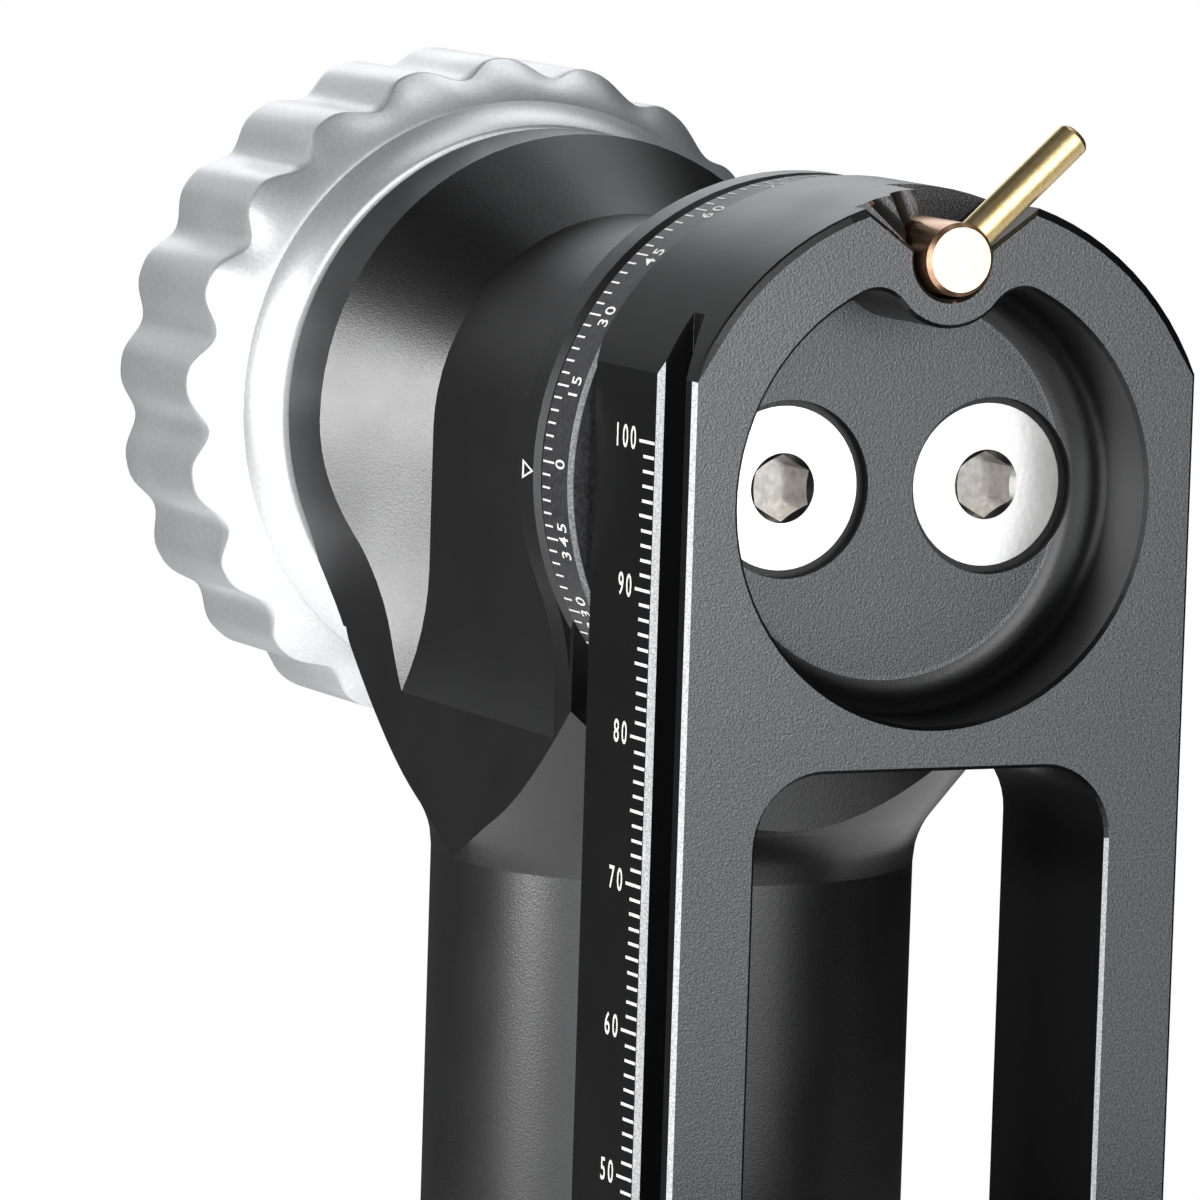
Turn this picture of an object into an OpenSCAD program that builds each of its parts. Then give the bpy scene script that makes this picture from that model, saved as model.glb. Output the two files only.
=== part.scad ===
// Gimbal head for long lenses: a panning base, an upright with a tilt hub, and a swing arm
// with a dovetail on which a lens carriage slides. Millimetres, +Z up. The origin is the
// mouth of the tripod thread on the pan axis; the tilt axis runs along Y.

/* [Placement] */
// Height of the tilt axis above the tripod face
tilt_h = 175; // [172:1:220]
// Distance from the pan axis to the front face of the swing arm
arm_front = 42; // [41:1:60]
// Axial gap between parts that turn past each other
turn_gap = 0.3; // [0.2:0.05:0.5]
// Radial clearance of a running fit
run_fit = 0.05; // [0.02:0.01:0.09]
// Radial clearance of a seated fit
seat_fit = 0.02; // [0.01:0.01:0.04]

/* [Swing arm] */
// Width of the arm and of its dovetail
arm_w = 38; // [37:0.5:40]
// Thickness of the arm
arm_t = 16; // [15:0.5:18]
// Length of the arm below the tilt axis
arm_drop = 108; // [106:1:112]
// Radius of the arm's round top
arm_top_r = 20.7; // [20.2:0.1:22]
// Radius of the arm's lower corners
arm_foot_r = 6; // [2:0.5:10]
// Bevel along the arm's front edges and round its top
arm_bevel = 0.3; // [0.2:0.1:1]
// Bevel along the back of the arm's sides and of its slot
back_bevel = 1; // [0.3:0.1:1.5]
// Straight edge in front of the dovetail flank
dovetail_edge = 1.2; // [1:0.1:2.2]
// How far the 45 degree dovetail flank runs in
dovetail_in = 2.4; // [2:0.1:3.2]
// Width of the groove floor behind the dovetail
groove_floor = 1.6; // [1.2:0.1:3]
// Bevel on the groove's back edge
groove_bevel = 0.4; // [0.2:0.1:1.2]

/* [Arm recess and slot] */
// Radius of the round recess in the arm's front
recess_r = 15.4; // [14.8:0.1:16]
// Depth of the recess
recess_d = 8; // [6:0.5:9]
// Fillet at the recess floor
recess_fillet = 2.5; // [0.5:0.5:3]
// Radius of the boss round the lock pin
boss_r = 4.75; // [4.2:0.05:5.2]
// Fillet between the boss and the recess wall
boss_fillet = 2.4; // [1.5:0.1:3]
// Width of the long slot
slot_w = 26.6; // [20:0.2:27]
// Top of the slot below the tilt axis
slot_top = 18.4; // [17.5:0.1:30]
// Bottom of the slot below the tilt axis
slot_end = 98; // [90:1:100]
// Corner radius of the slot
slot_r = 5; // [2:0.5:8]

/* [Lock pin] */
// Diameter of the lock pin
pin_d = 5; // [4.6:0.1:5.2]
// Depth of the pin's axis inside the arm's round top
pin_in = 4.4; // [4.2:0.1:4.8]
// How far the pin's face stands out of the arm
pin_proud = 1.3; // [0.8:0.1:2]
// Diameter of the pin's nose
pin_nose_d = 4; // [3:0.1:4.2]
// How far the pin slides in
pin_travel = 1.8; // [1.2:0.1:1.9]
// Diameter of the lever rod
lever_d = 2.4; // [2:0.1:2.5]
// Length of the lever from the pin's axis
lever_len = 12.3; // [9:0.1:16]
// Lean of the lever from upright
lever_lean = 48; // [44:1:49]
// Distance of the lever's axis behind the pin's face
lever_back = 1.5; // [1.4:0.1:1.7]
// Half angle of the V notch over the pin
notch_half = 54; // [53:1:58]
// Depth of the notch on the locking side
notch_d = 8; // [7:0.5:10]
// Depth of the notch on the holding side
ramp_d = 1.9; // [1.8:0.1:2.4]

/* [Tilt hub and upright] */
// Step from the hub's round top down to the tilt scale disc
disc_step = 0.05; // [0:0.05:0.4]
// Thickness of the tilt scale disc
disc_t = 5; // [5:0.1:7]
// Bevel on the disc's back edge, twice that of its front edge
disc_bevel = 0.6; // [0.3:0.1:1]
// Radius of the hub's round top
hub_r = 20.4; // [20:0.1:22]
// Length of the hub along the tilt axis
hub_len = 42.7; // [42:0.1:46]
// Thickness of the index flange at the hub's front
flange_t = 2.7; // [2.5:0.1:3.4]
// Radius of the hub's waist
waist_r = 15.3; // [15:0.1:16]
// Length of the waist
waist_len = 25.5; // [24:0.5:26]
// Length of the cone behind the waist
cone_len = 8.5; // [6:0.5:9]
// Depth below the tilt axis to which the waist's flanks run straight
waist_drop = 10; // [9:0.5:12]
// Radius of the cove where the waist runs out
cove_r = 21.3; // [18:0.1:24]
// Radius of the fillet from the hub's rim into the neck's flank
web_r = 18; // [12:1:30]
// Diameter of the post
post_d = 34.4; // [33:0.1:36]
// Distance of the post's axis behind the hub's front
post_set = 18.7; // [18:0.1:20]
// Depth below the tilt axis at which the post is round
neck_drop = 29.5; // [28:0.5:34]
// Lean of the turned neck from upright
neck_lean = 37; // [30:1:45]
// Fillet where the neck meets the post
neck_fillet = 6; // [4:0.5:8]
// Radius of the neck's shoulder, about the post's axis
shoulder_turn_r = 26.2; // [25.6:0.1:27]
// Rounding of the shoulder
shoulder_round = 4; // [2:0.5:6]

/* [Tilt bearings] */
// Diameter of the tilt shaft in its bearings
tilt_shaft_d = 17; // [16:0.5:18]
// Outer diameter of the tilt bearings
tilt_brg_d = 26; // [25.5:0.1:26.4]
// Width of the tilt bearings
tilt_brg_w = 5; // [4:0.5:6]
// Depth of the front tilt bearing behind the hub's front
tilt_brg_set = 4; // [3.5:0.5:6]
// Distance of the rear tilt bearing from the hub's back
tilt_brg_back = 6.2; // [5.5:0.1:7]
// Diameter of the thread for the tilt knob
tilt_thread_d = 10; // [8:1:12]
// Thickness of the tilt brake washer
brake_t = 1; // [0.8:0.1:1.2]
// Radius of the tilt brake washer
brake_r = 15; // [14:0.1:15.2]
// Balls in each bearing
ball_n = 9; // [7:1:10]

/* [Tilt knob] */
// Gap between the hub's back and the knob
knob_gap = 0.8; // [0.6:0.1:1.2]
// Radius of the knob's lobes
knob_r = 25; // [24.4:0.1:26]
// Radius of the collar's front edge
collar_front_r = 20.6; // [20:0.1:21.4]
// Radius of the collar's back edge
collar_r = 22.2; // [21.6:0.1:22.8]
// Length of the coned collar
collar_len = 3.2; // [2.4:0.1:4]
// Length of the bevel behind the collar
bevel_len = 2.4; // [2:0.1:4]
// Length of the scalloped band
grip_len = 14.4; // [12:0.2:16]
// Number of scallops
scallop_n = 18; // [14:1:20]
// Depth of the scallops
scallop_d = 1.8; // [1:0.1:2.2]
// Radius of the scallop cutter
scallop_r = 4.2; // [3.6:0.1:4.4]
// Angle of the first scallop
scallop_turn = 5.5; // [0:0.5:20]
// Length of the bevel at the knob's back
knob_back = 2.2; // [1.6:0.1:4]

/* [Pan base] */
// Radius of the base plate
base_r = 32; // [30:0.5:36]
// Thickness of the base plate
base_t = 10; // [9:0.5:12]
// Bore of the tripod thread
thread_d = 8; // [7.6:0.1:8.4]
// Diameter of the tripod bush
bush_d = 16; // [14:0.5:18]
// Height of the pan housing
pan_h = 34; // [33.5:0.5:36]
// Diameter of the pan spindle in its bearings
spindle_d = 20; // [19:0.5:21]
// Outer diameter of the pan bearings
pan_brg_d = 32; // [31.5:0.1:33]
// Width of the pan bearings
pan_brg_w = 7; // [6:0.5:7.5]
// Radius of the foot under the post
foot_r = 21; // [19.5:0.5:24]
// Width of the web between housing and foot
web_w = 34; // [28:1:38]
// Depth by which the web lies below the foot's top and above its bottom
web_in = 2.5; // [1.5:0.5:4]
// Rounding of the housing's edges
edge_r = 1.6; // [0.8:0.2:2.4]
// Radius of the cap over the pan spindle
cap_r = 22; // [21.5:0.5:24]
// Thickness of the cap
cap_t = 2.5; // [2:0.5:4]

/* [Lens carriage] */
// Centre of the carriage below the tilt axis at rest
carriage_drop = 75; // [72:1:78]
// Height of the carriage
carriage_h = 44; // [42:1:46]
// Thickness of the carriage in front of the arm
carriage_t = 20; // [18:0.5:21]
// Thickness of a clamp's moving jaw
jaw_t = 9; // [8:0.5:10]
// Wall outside a clamp's fixed jaw
jaw_wall = 5.5; // [4:0.5:7]
// Clearance between a clamp and the dovetail it holds
jaw_gap = 0.3; // [0.2:0.05:0.5]
// Distance of the arm clamp's axis in front of the arm
clamp_set = 7; // [6.5:0.1:7.5]
// Edge of a lens plate below its dovetail
lens_edge = 2.3; // [2.2:0.1:2.6]
// Length of the lens clamp along the lens
clamp_len = 70; // [60:1:76]
// Thickness of the lens platform
platform_t = 12; // [11:0.5:14]
// Radius of the clamp knobs and the pan knob
small_knob_r = 12; // [11:0.5:12.5]
// Length of the clamp knobs
small_knob_len = 15; // [12:0.5:18]

/* [Screws] */
// Thread diameter of the arm and upright screws
screw_d = 6; // [5:0.5:6.4]
// Distance of each arm screw from the tilt axis
screw_set = 7.77; // [7.4:0.01:8]
// Head diameter of the arm screws
head_d = 11.2; // [10.8:0.1:11.6]
// Depth of the arm screws' cylindrical counterbore
head_sink = 0.8; // [0.4:0.1:1.2]
// Hex socket of the arm and upright screws across flats
hex_w = 4; // [3:0.5:4.5]
// Thread diameter of the clamp screws
clamp_screw_d = 6; // [5:0.5:7]
// Diameter of the jaw guide pins
guide_d = 4; // [3:0.5:4.5]
// Thread diameter of the small screws
small_screw_d = 3; // [2.5:0.5:3.5]

/* [Hidden] */
$fn = 96;
far = 400;

// Stations along the tilt axis, measured back from the arm's front face
disc_front = arm_t;
disc_back = disc_front + disc_t;
disc_r = hub_r - disc_step;
hub_front = disc_back + turn_gap;
hub_back = hub_front + hub_len;
flange_back = hub_front + flange_t;
waist_back = flange_back + waist_len;
brake_front = hub_back + turn_gap;
brake_back = brake_front + brake_t;
knob_front = hub_back + knob_gap;
collar_back = knob_front + collar_len;
grip_front = collar_back + bevel_len;
grip_back = grip_front + grip_len;
knob_end = grip_back + knob_back;
knob_pocket_r = brake_r + 0.8;
knob_pocket = collar_back + 0.2;
insert_end = grip_back - 1.8;
post_y = hub_front + post_set;
post_r = post_d / 2;

// Tilt shaft and its bearings
tilt_shaft_r = tilt_shaft_d / 2;
tilt_brg_r = tilt_brg_d / 2;
tilt_race = (tilt_brg_r - tilt_shaft_r) / 3;
front_brg = hub_front + tilt_brg_set;
rear_brg = hub_back - tilt_brg_back - tilt_brg_w;
shoulder_r = tilt_shaft_r + 0.75 * tilt_race;
hub_bore_r = tilt_brg_r - 0.75 * tilt_race;
shaft_flange_r = recess_r - recess_fillet - 0.6;
shaft_flange_t = 2.5;
thread_r = tilt_thread_d / 2;
insert_r = thread_r + 4;
spring_t = 2;
spring_front = brake_back + 0.2;
shaft_end = knob_pocket - 1.2;

// Lock pin
pin_r = pin_d / 2;
pin_h = arm_top_r - pin_in;
pin_nose_r = pin_nose_d / 2;
pin_clear_r = pin_r + 0.3;
lever_r = lever_d / 2;
lever_y = lever_back - pin_proud;
notch_apex = 1.43;
ring_y = arm_t * 0.72;
ring_wire_r = 0.32;
ring_mid_r = pin_r + run_fit - ring_wire_r - 0.07;
lock_bore_d = pin_travel + 0.3;

// Screws
screw_r = screw_d / 2;
head_r = head_d / 2;
small_screw_r = small_screw_d / 2;
hex_r = hex_w / sqrt(3);
hex_d = 2.4;
screw_end = disc_back - 0.6;

// Pan base stations
spindle_r = spindle_d / 2;
pan_brg_r = pan_brg_d / 2;
pan_race = (pan_brg_r - spindle_r) / 3;
house_bottom = base_t + turn_gap;
house_top = house_bottom + pan_h;
spindle_flange_r = pan_brg_r + 4;
spindle_flange_t = 3;
low_brg = base_t + spindle_flange_t + 0.5;
top_brg = house_top - 2 * pan_brg_w;
brg_between = [low_brg + pan_brg_w, top_brg];
spacer_r = spindle_r + 0.8 * pan_race;
nut_t = 4.5;
nut_r = spindle_r + 2.6;
foot_y = arm_front + post_y;
foot_top = house_top - 4;
foot_bottom = house_bottom + 2;
pan_knob_z = (brg_between[0] + brg_between[1]) / 2;
stud_r = 4;
shoe_front = spacer_r + turn_gap;
shoe_len = 5;
stud_front = shoe_front + shoe_len + 0.1;
pan_knob_x = base_r + 0.5;
base_screw_r = 2;
base_screw_ring = spindle_flange_r - 4.2;
cap_screw_ring = (pan_brg_r + cap_r) / 2;
upright_screw_ring = post_r * 0.58;
upright_screw_up = 12;
upright_head_h = 6;

// Carriage stations in the swing arm's frame
flank_end = dovetail_edge + dovetail_in;
groove_end = flank_end + groove_floor;
half_w = arm_w / 2;
carriage_low = -carriage_drop - carriage_h / 2;
carriage_face = -jaw_gap - carriage_t;
jaw_in = half_w + jaw_gap;
lip_in = half_w - dovetail_in + 2 * jaw_gap;
lip_start = dovetail_edge + jaw_gap * (sqrt(2) - 1);
lip_top = groove_end - jaw_gap - 0.1;
jaw_out = jaw_in + jaw_t;
clamp_y = -jaw_gap - clamp_set;
lens_up = lens_edge - dovetail_edge;
clamp_screw_r = clamp_screw_d / 2;
guide_r = guide_d / 2;
guide_grip = 10;
guide_span = carriage_h / 2 - 1.75 * guide_d;
seat_z = carriage_low + platform_t;
lens_y = -arm_front;
lens_clamp_z = seat_z - platform_t / 2;
lens_guide_span = clamp_len / 2 - 2.75 * guide_d;
washer_t = 1;
clamp_screw_in = 16;
platform_screw_r = 2;
platform_screw_x = half_w * 0.28;
platform_screw_z = [lens_clamp_z, -carriage_drop + guide_span / 2 + 1];
stop_screw_z = -(arm_drop + slot_end) / 2;
stop_screw_x = half_w - arm_foot_r - small_screw_r * 0.7;
stop_screw_in = arm_t / 2;
stop_head_h = small_screw_d * 0.66;

// Frames and directions

// Moves a piece to the tilt axis, with y measured back from the arm's front face
module at_tilt() translate([0, arm_front, tilt_h]) children();

// Extrudes an (x, z) outline along Y
module along_y(y0, y1) translate([0, y1, 0]) rotate([90, 0, 0]) linear_extrude(y1 - y0) children();

// Extrudes a (y, z) outline along X
module along_x(x0, x1) translate([x0, 0, 0]) rotate([90, 0, 90]) linear_extrude(x1 - x0) children();

// Revolves an (r, y) outline about Y
module turned_y() rotate([-90, 0, 0]) rotate_extrude() children();

// Revolves an (r, x) outline about X
module turned_x() rotate([0, 90, 0]) rotate_extrude() children();

module rod_y(r, y0, y1) translate([0, y0, 0]) rotate([-90, 0, 0]) cylinder(r = r, h = y1 - y0);

module rod_x(r, x0, x1) translate([x0, 0, 0]) rotate([0, 90, 0]) cylinder(r = r, h = x1 - x0);

// Outline of a ring between two radii and two stations
module ring_outline(r0, r1, s0, s1) translate([r0, s0]) square([r1 - r0, s1 - s0]);

// Ring outline with bevelled outer corners
module bevelled_outline(r0, r1, s0, s1, b)
    polygon([[r0, s0], [r1 - b, s0], [r1, s0 + b], [r1, s1 - b], [r1 - b, s1], [r0, s1]]);

// Bearings

// Outline of one race with its ball groove cut in
module race_outline(r0, r1, s0, w, groove_r, groove_mid)
    difference() {
        ring_outline(r0, r1, s0, s0 + w);
        translate([groove_mid, s0 + w / 2]) circle(groove_r);
    }

// Balls of one bearing about Z, centred at height z
module ball_ring(mid_r, ball_r, z)
    for (i = [0 : ball_n - 1])
        rotate([0, 0, i * 360 / ball_n]) translate([mid_r, 0, z]) sphere(ball_r);

tilt_mid_r = (tilt_shaft_r + tilt_brg_r) / 2;
tilt_ball_r = 0.72 * tilt_race;
pan_mid_r = (spindle_r + pan_brg_r) / 2;
pan_ball_r = 0.72 * pan_race;
ball_gap = 0.12;

// Screws

// Countersunk screw about Y, head face at y = 0, shank running back
module countersunk_y(shank_r, top_r, len, socket_r, socket_d)
    difference() {
        turned_y() polygon([[0, 0], [top_r, 0], [top_r, 0.5], [shank_r, 0.5 + top_r - shank_r],
            [shank_r, len], [0, len]]);
        translate([0, -1, 0]) rotate([-90, 30, 0]) cylinder(r = socket_r, h = socket_d + 1, $fn = 6);
        turned_y() polygon([[0, -1], [1.04 * socket_r + 1, -1], [0, 1.04 * socket_r]]);
    }

// Hole that seats a countersunk screw about Y
module countersink_y(shank_r, top_r, len)
    turned_y() polygon([[0, -1], [top_r, -1], [top_r, 0.5], [shank_r, 0.5 + top_r - shank_r],
        [shank_r, len], [0, len]]);

// Cap screw standing on its head at z = 0, shank running up
module cap_screw_up(shank_r, top_r, top_h, len, socket_r)
    difference() {
        union() {
            cylinder(r = top_r, h = top_h);
            cylinder(r = shank_r, h = len);
        }
        translate([0, 0, -1]) cylinder(r = socket_r, h = top_h / 2 + 1, $fn = 6);
    }

// Knobs

// Scallop cutters round a knob about Z
module scallops(n, lobe_r, depth, cutter_r, z0, z1)
    for (i = [0 : n - 1])
        rotate([0, 0, i * 360 / n]) translate([lobe_r - depth + cutter_r, 0, z0])
            cylinder(r = cutter_r, h = z1 - z0);

// Small silver knob about Z, standing on z = 0, with a blind bore for its screw
module small_knob(bore_r)
    difference() {
        rotate_extrude() difference() {
            polygon([[0, 0], [small_knob_r - 4.5, 0], [small_knob_r - 4.5, 2], [small_knob_r - 1.2, 3.2],
                [small_knob_r, 4.4], [small_knob_r, small_knob_len - 1.5],
                [small_knob_r - 1.5, small_knob_len], [0, small_knob_len]]);
            translate([0, small_knob_len - 1]) square([small_knob_r * 0.5, 2]);
        }
        scallops(12, small_knob_r, 1.3, 2.9, 2.4, small_knob_len + 1);
        translate([0, 0, -1]) cylinder(r = bore_r, h = small_knob_len - 3);
    }

small_bore_end = small_knob_len - 4;

// Base: plate, bush, spindle and what is fixed to it

module base_plate() color([0.10, 0.10, 0.11]) difference() {
    rotate_extrude() polygon([[bush_d / 2 + seat_fit, 0], [base_r - 1.5, 0], [base_r, 1.5],
        [base_r, base_t - 0.8], [base_r - 0.8, base_t], [bush_d / 2 + seat_fit, base_t]]);
    for (i = [0 : 3]) rotate([0, 0, 45 + i * 90]) translate([base_screw_ring, 0, 0])
        rotate([90, 0, 0]) countersink_y(base_screw_r + seat_fit, 2 * base_screw_r, base_t + 1);
}

module tripod_bush() color([0.72, 0.72, 0.74]) difference() {
    cylinder(d = bush_d, h = base_t);
    translate([0, 0, -1]) cylinder(d = thread_d, h = base_t + 2);
}

module base_screws() color([0.55, 0.55, 0.57])
    for (i = [0 : 3]) rotate([0, 0, 45 + i * 90]) translate([base_screw_ring, 0, 0])
        rotate([90, 0, 0]) countersunk_y(base_screw_r, 2 * base_screw_r, base_t + 2.4, 1.4, 1.2);

module pan_spindle() color([0.66, 0.67, 0.69]) difference() {
    rotate_extrude() polygon([[0, base_t], [spindle_flange_r, base_t],
        [spindle_flange_r, base_t + spindle_flange_t - 0.5],
        [spindle_flange_r - 0.5, base_t + spindle_flange_t],
        [spindle_r + 0.75 * pan_race, base_t + spindle_flange_t], [spindle_r + 0.75 * pan_race, low_brg],
        [spindle_r, low_brg], [spindle_r, top_brg + pan_brg_w],
        [spindle_r - 2, top_brg + pan_brg_w], [spindle_r - 2, top_brg + pan_brg_w + nut_t + 1],
        [0, top_brg + pan_brg_w + nut_t + 1]]);
    translate([0, 0, base_t - 1]) cylinder(d = 1.2 * thread_d, h = 0.7 * base_t);
    for (i = [0 : 3]) rotate([0, 0, 45 + i * 90]) translate([base_screw_ring, 0, base_t - 1])
        cylinder(r = base_screw_r + seat_fit, h = spindle_flange_t + 2);
}

module pan_spacer() color([0.60, 0.60, 0.62]) rotate_extrude()
    ring_outline(spindle_r + seat_fit, spacer_r, brg_between[0], brg_between[1]);

module pan_spindle_nut() color([0.60, 0.60, 0.62]) translate([0, 0, top_brg + pan_brg_w])
    difference() {
        cylinder(r = nut_r, h = nut_t, $fn = 6);
        translate([0, 0, -1]) cylinder(r = spindle_r - 2 + seat_fit, h = nut_t + 2);
    }

module pan_inner_races() color([0.80, 0.80, 0.82])
    for (z = [low_brg, top_brg]) rotate_extrude()
        race_outline(spindle_r + seat_fit, spindle_r + pan_race, z, pan_brg_w,
            pan_ball_r + ball_gap, pan_mid_r);

// Pan housing and the upright that stands on it

module pan_housing() color([0.10, 0.10, 0.11]) difference() {
    union() {
        rotate_extrude() difference() {
            polygon([[0, house_bottom], [base_r - 0.8, house_bottom], [base_r, house_bottom + 0.8],
                [base_r, house_top - edge_r], [base_r - edge_r, house_top], [0, house_top]]);
        }
        translate([0, foot_y, 0]) rotate_extrude()
            polygon([[0, foot_bottom], [foot_r - edge_r, foot_bottom], [foot_r, foot_bottom + edge_r],
                [foot_r, foot_top - edge_r], [foot_r - edge_r, foot_top], [0, foot_top]]);
        translate([-web_w / 2, 0, foot_bottom + web_in])
            cube([web_w, foot_y, foot_top - foot_bottom - 2 * web_in]);
    }
    translate([0, 0, house_bottom - 1]) cylinder(r = spindle_flange_r + 0.5, h = low_brg - base_t + 0.7);
    translate([0, 0, low_brg]) cylinder(r = pan_brg_r, h = pan_brg_w);
    translate([0, 0, low_brg]) cylinder(r = pan_brg_r - 0.75 * pan_race, h = far);
    translate([0, 0, top_brg]) cylinder(r = pan_brg_r, h = far);
    translate([0, 0, pan_knob_z]) rotate([0, -90, 0]) cylinder(r = stud_r + run_fit, h = far);
    for (a = [0 : 120 : 240]) rotate([0, 0, a]) translate([cap_screw_ring, 0, house_top - 6])
        cylinder(r = small_screw_r + seat_fit, h = far);
    translate([0, foot_y, 0]) for (a = [30 : 120 : 270]) rotate([0, 0, a])
        translate([upright_screw_ring, 0, 0]) {
            translate([0, 0, foot_bottom - 1]) cylinder(r = screw_r * 1.7, h = upright_head_h + 2);
            cylinder(r = screw_r + 0.2, h = far);
        }
}

module pan_cap() color([0.12, 0.12, 0.13]) difference() {
    rotate_extrude() polygon([[0, house_top], [cap_r, house_top], [cap_r, house_top + cap_t - 0.8],
        [cap_r - 0.8, house_top + cap_t], [0, house_top + cap_t]]);
    for (a = [0 : 120 : 240]) rotate([0, 0, a]) translate([cap_screw_ring, 0, house_top + cap_t])
        rotate([-90, 0, 0]) countersink_y(small_screw_r + seat_fit, small_screw_r * 1.5 + seat_fit, cap_t + 1);
}

module pan_cap_screws() color([0.70, 0.70, 0.72])
    for (a = [0 : 120 : 240]) rotate([0, 0, a]) translate([cap_screw_ring, 0, house_top + cap_t])
        rotate([-90, 0, 0]) countersunk_y(small_screw_r, small_screw_r * 1.5, 3 * cap_t, 0.9, 0.9);

module pan_outer_races() color([0.80, 0.80, 0.82])
    for (z = [low_brg, top_brg]) rotate_extrude()
        race_outline(pan_brg_r - pan_race, pan_brg_r - seat_fit, z, pan_brg_w,
            pan_ball_r + ball_gap, pan_mid_r);

module pan_balls() color([0.85, 0.85, 0.87])
    for (z = [low_brg, top_brg]) ball_ring(pan_mid_r, pan_ball_r, z + pan_brg_w / 2);

// Turned outline of the post, its flared neck and the rounded shoulder, about the post's axis
module neck_outline() {
    start = [post_r + neck_fillet * (1 - cos(neck_lean)), -neck_drop + neck_fillet * sin(neck_lean)];
    round_x = shoulder_turn_r - shoulder_round;
    round_start = [round_x + shoulder_round * cos(neck_lean), 0];
    rise = (round_start[0] - start[0]) / tan(neck_lean);
    round_z = start[1] + rise + shoulder_round * sin(neck_lean);
    difference() {
        union() {
            polygon([[0, -neck_drop - 1], [post_r, -neck_drop - 1], [post_r, -neck_drop], start,
                [round_start[0], start[1] + rise], [round_x, round_z], [0, round_z]]);
            translate([round_x, round_z]) circle(shoulder_round);
            translate([0, round_z]) square([shoulder_turn_r, hub_r - round_z]);
        }
        translate([post_r + neck_fillet, -neck_drop]) circle(neck_fillet);
    }
}

// Turned outline of the hub about the tilt axis: flange, waist, cone and rear rim
module hub_outline() polygon([[0, hub_front], [hub_r - 0.4, hub_front], [hub_r, hub_front + 0.4],
    [hub_r, flange_back], [waist_r, flange_back], [waist_r, waist_back], [hub_r, waist_back + cone_len],
    [hub_r, hub_back - 0.4], [hub_r - 0.4, hub_back], [0, hub_back]]);

// Waist groove on the neck's flank, +X side: straight beside the axis, then a cove running out
module flank_cut() {
    slope = cone_len / (hub_r - waist_r);
    translate([0, 0, -waist_drop]) linear_extrude(waist_drop + 1)
        polygon([[waist_r, flange_back], [waist_r + cove_r, flange_back],
            [waist_r + cove_r, waist_back + slope * cove_r], [waist_r, waist_back]]);
    translate([waist_r + cove_r, 0, -waist_drop]) turned_y()
        polygon([[0, flange_back], [cove_r, flange_back], [cove_r, waist_back],
            [0, waist_back + slope * cove_r]]);
}

// Web under the hub's rim, +X side, as an (x, z) outline: its fillet runs from the rim into the flank
module hub_web() {
    reach = hub_r + web_r;
    centre_x = post_r + web_r;
    drop = sqrt(reach * reach - centre_x * centre_x);
    intersection() {
        circle(hub_r);
        translate([0, -drop]) square([hub_r + 1, drop]);
    }
    difference() {
        polygon([[0, 0], [centre_x, -drop], [0, -drop]]);
        translate([centre_x, -drop]) circle(web_r);
    }
}

module upright() color([0.07, 0.07, 0.08]) at_tilt() difference() {
    union() {
        turned_y() hub_outline();
        difference() {
            union() {
                intersection() {
                    translate([-post_r, hub_front, -neck_drop - 1]) cube([post_d, hub_len, neck_drop + 1]);
                    translate([0, post_y, 0]) rotate_extrude() neck_outline();
                }
                for (s = [0, 1]) mirror([s, 0, 0]) along_y(hub_front + 0.4, hub_back - 0.4) hub_web();
            }
            flank_cut();
            mirror([1, 0, 0]) flank_cut();
        }
        translate([0, post_y, foot_top - tilt_h]) cylinder(r = post_r, h = tilt_h - foot_top - neck_drop);
    }
    rod_y(hub_bore_r, hub_front - 1, hub_back + 1);
    rod_y(tilt_brg_r, hub_front - 1, front_brg + tilt_brg_w);
    rod_y(tilt_brg_r, rear_brg, hub_back + 1);
    for (a = [0 : 90 : 270]) rotate([0, a, 0]) translate([0, 0, pin_h])
        rod_y(pin_nose_r + run_fit, hub_front - 1, hub_front + lock_bore_d);
    translate([0, post_y, foot_top - tilt_h]) for (a = [30 : 120 : 270]) rotate([0, 0, a])
        translate([upright_screw_ring, 0, -1]) cylinder(r = screw_r + seat_fit, h = upright_screw_up + 2);
}

module upright_screws() color([0.20, 0.20, 0.21])
    translate([0, foot_y, foot_bottom + 1]) for (a = [30 : 120 : 270]) rotate([0, 0, a])
        translate([upright_screw_ring, 0, 0])
            cap_screw_up(screw_r, screw_r * 1.65, upright_head_h, foot_top - foot_bottom - 1 + upright_screw_up,
                hex_r);

module tilt_outer_races() color([0.80, 0.80, 0.82]) at_tilt()
    for (y = [front_brg, rear_brg]) turned_y()
        race_outline(tilt_brg_r - tilt_race, tilt_brg_r - seat_fit, y, tilt_brg_w,
            tilt_ball_r + ball_gap, tilt_mid_r);

module tilt_balls() color([0.85, 0.85, 0.87]) at_tilt() rotate([-90, 0, 0])
    for (y = [front_brg, rear_brg]) ball_ring(tilt_mid_r, tilt_ball_r, y + tilt_brg_w / 2);

// Pan lock: knob, stud and brake shoe along -X

module pan_brake_shoe() color([0.78, 0.60, 0.32]) translate([0, 0, pan_knob_z]) rotate([0, 0, 180])
    rod_x(stud_r, shoe_front, shoe_front + shoe_len);

module pan_knob() color([0.86, 0.87, 0.88])
    translate([-pan_knob_x, 0, pan_knob_z]) rotate([0, -90, 0]) small_knob(stud_r + seat_fit);

module pan_knob_stud() color([0.70, 0.70, 0.72]) translate([0, 0, pan_knob_z]) rotate([0, 0, 180])
    rod_x(stud_r, stud_front, pan_knob_x + small_bore_end);

// Swing arm and what turns with it

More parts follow.
